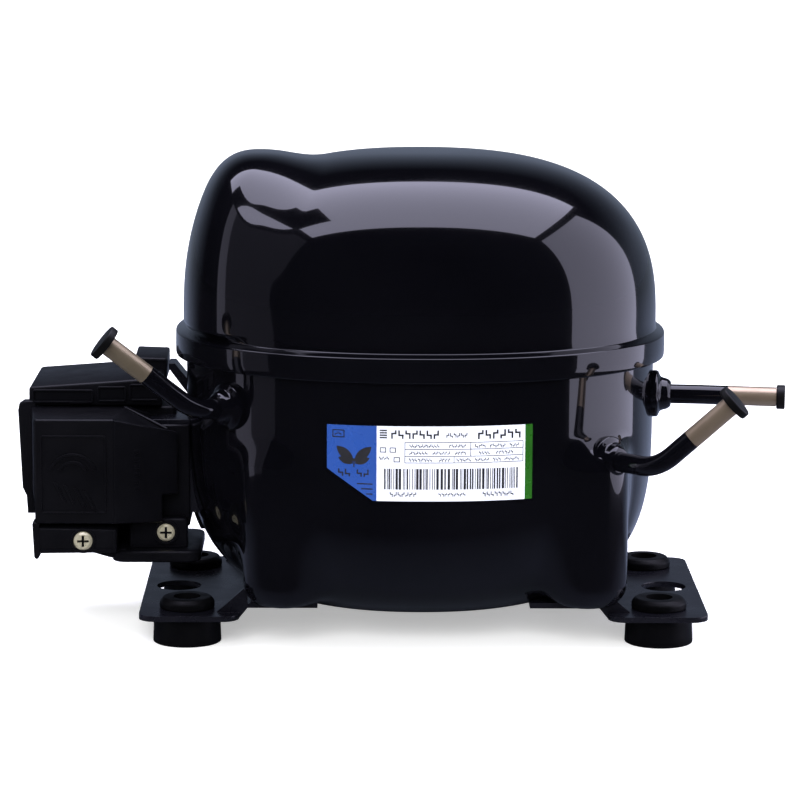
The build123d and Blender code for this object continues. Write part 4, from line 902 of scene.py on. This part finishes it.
# the overhead box has a notch in its left side, where the boom comes in
area_light("top_box", (0.17, 0.08, 1.16), (0.17, 0.08, 0.0), (1.34, 1.15), 18.32)
area_light("top_box_left_front", (-0.67, -0.3475, 1.16), (-0.67, -0.3475, 0.0), (0.34, 0.295), 1.19)
area_light("top_box_left_rear", (-0.67, 0.4025, 1.16), (-0.67, 0.4025, 0.0), (0.34, 0.505), 2.04)
area_light("right_panel", (0.36, -0.045, 0.24), (0.0, -0.045, 0.24), (0.35, 0.52), 1.15)
area_light("left_panel", (-0.36, -0.175, 0.24), (0.0, -0.175, 0.24), (0.11, 0.52), 0.027)
area_light("left_strip", (-0.36, -0.085, 0.24), (0.0, -0.085, 0.24), (0.07, 0.52), 0.075)


def fill(name, strength, spread, turn):
    """Broad even light that leaves no mirror image of itself."""
    data = bpy.data.lights.new(name, "SUN")
    data.energy = strength
    data.angle = math.radians(spread)
    lamp = bpy.data.objects.new(name, data)
    lamp.rotation_euler = tuple(math.radians(t) for t in turn)
    lamp.visible_glossy = False
    bpy.context.collection.objects.link(lamp)


fill("overhead_fill", 2.7, 115, (4, -4, 0))
fill("front_fill", 2.8, 30, (62, 0, -6))

world = bpy.data.worlds.new("studio")
bpy.context.scene.world = world
world.use_nodes = True
nodes, links = world.node_tree.nodes, world.node_tree.links
dim = nodes["Background"]
# reflections see a soft backdrop behind the compressor and a dark room in front of it
coords = nodes.new("ShaderNodeTexCoord")


def along(direction, low, high, start, stop):
    """Ramp of the view direction's component along one direction."""
    dot = nodes.new("ShaderNodeVectorMath")
    dot.operation = "DOT_PRODUCT"
    dot.inputs[1].default_value = direction
    links.new(coords.outputs["Generated"], dot.inputs[0])
    return ramp(world.node_tree, dot.outputs["Value"], low, high, start, stop)


both = nodes.new("ShaderNodeMix")
both.data_type = "RGBA"
both.blend_type = "MULTIPLY"
both.inputs[0].default_value = 1.0
links.new(along(BEHIND, (0.001, 0.001, 0.0015), (0.135, 0.16, 0.22), 0.30, 0.80), both.inputs[6])
links.new(along((0.0, 0.0, 1.0), 1.0, 0.02, 0.18, 0.60), both.inputs[7])
links.new(both.outputs[2], dim.inputs["Color"])
dim.inputs["Strength"].default_value = 1.0
bright = nodes.new("ShaderNodeBackground")
bright.inputs["Color"].default_value = (1, 1, 1, 1)
bright.inputs["Strength"].default_value = 1.0
choose = nodes.new("ShaderNodeMixShader")
path = nodes.new("ShaderNodeLightPath")
links.new(path.outputs["Is Camera Ray"], choose.inputs[0])
links.new(dim.outputs[0], choose.inputs[1])
links.new(bright.outputs[0], choose.inputs[2])
links.new(choose.outputs[0], nodes["World Output"].inputs["Surface"])

# ---------------------------------------------------------------- camera
YAW, PITCH, ROLL = math.radians(0.71), math.radians(9.80), math.radians(0.28)
DISTANCE, FOCAL_LENGTH, SENSOR = 1.307, 160.4, 36.0
LOOK_AT = Vector((-0.0083, 0.0, 0.0820))
forward = Vector((math.sin(YAW) * math.cos(PITCH), math.cos(YAW) * math.cos(PITCH), -math.sin(PITCH)))
level_right = Vector((math.cos(YAW), -math.sin(YAW), 0))
level_up = level_right.cross(forward)
right = level_right * math.cos(ROLL) + level_up * math.sin(ROLL)
up = level_up * math.cos(ROLL) - level_right * math.sin(ROLL)
lens = bpy.data.cameras.new("camera")
lens.lens = FOCAL_LENGTH
lens.sensor_width = SENSOR
lens.clip_end = 50
camera = bpy.data.objects.new("camera", lens)
turn = Matrix((right, up, -forward)).transposed().to_4x4()
turn.translation = LOOK_AT - forward * DISTANCE
camera.matrix_world = turn
bpy.context.collection.objects.link(camera)
scene = bpy.context.scene
scene.camera = camera
scene.view_settings.view_transform = "Standard"
scene.view_settings.look = "None"

bpy.context.view_layer.update()
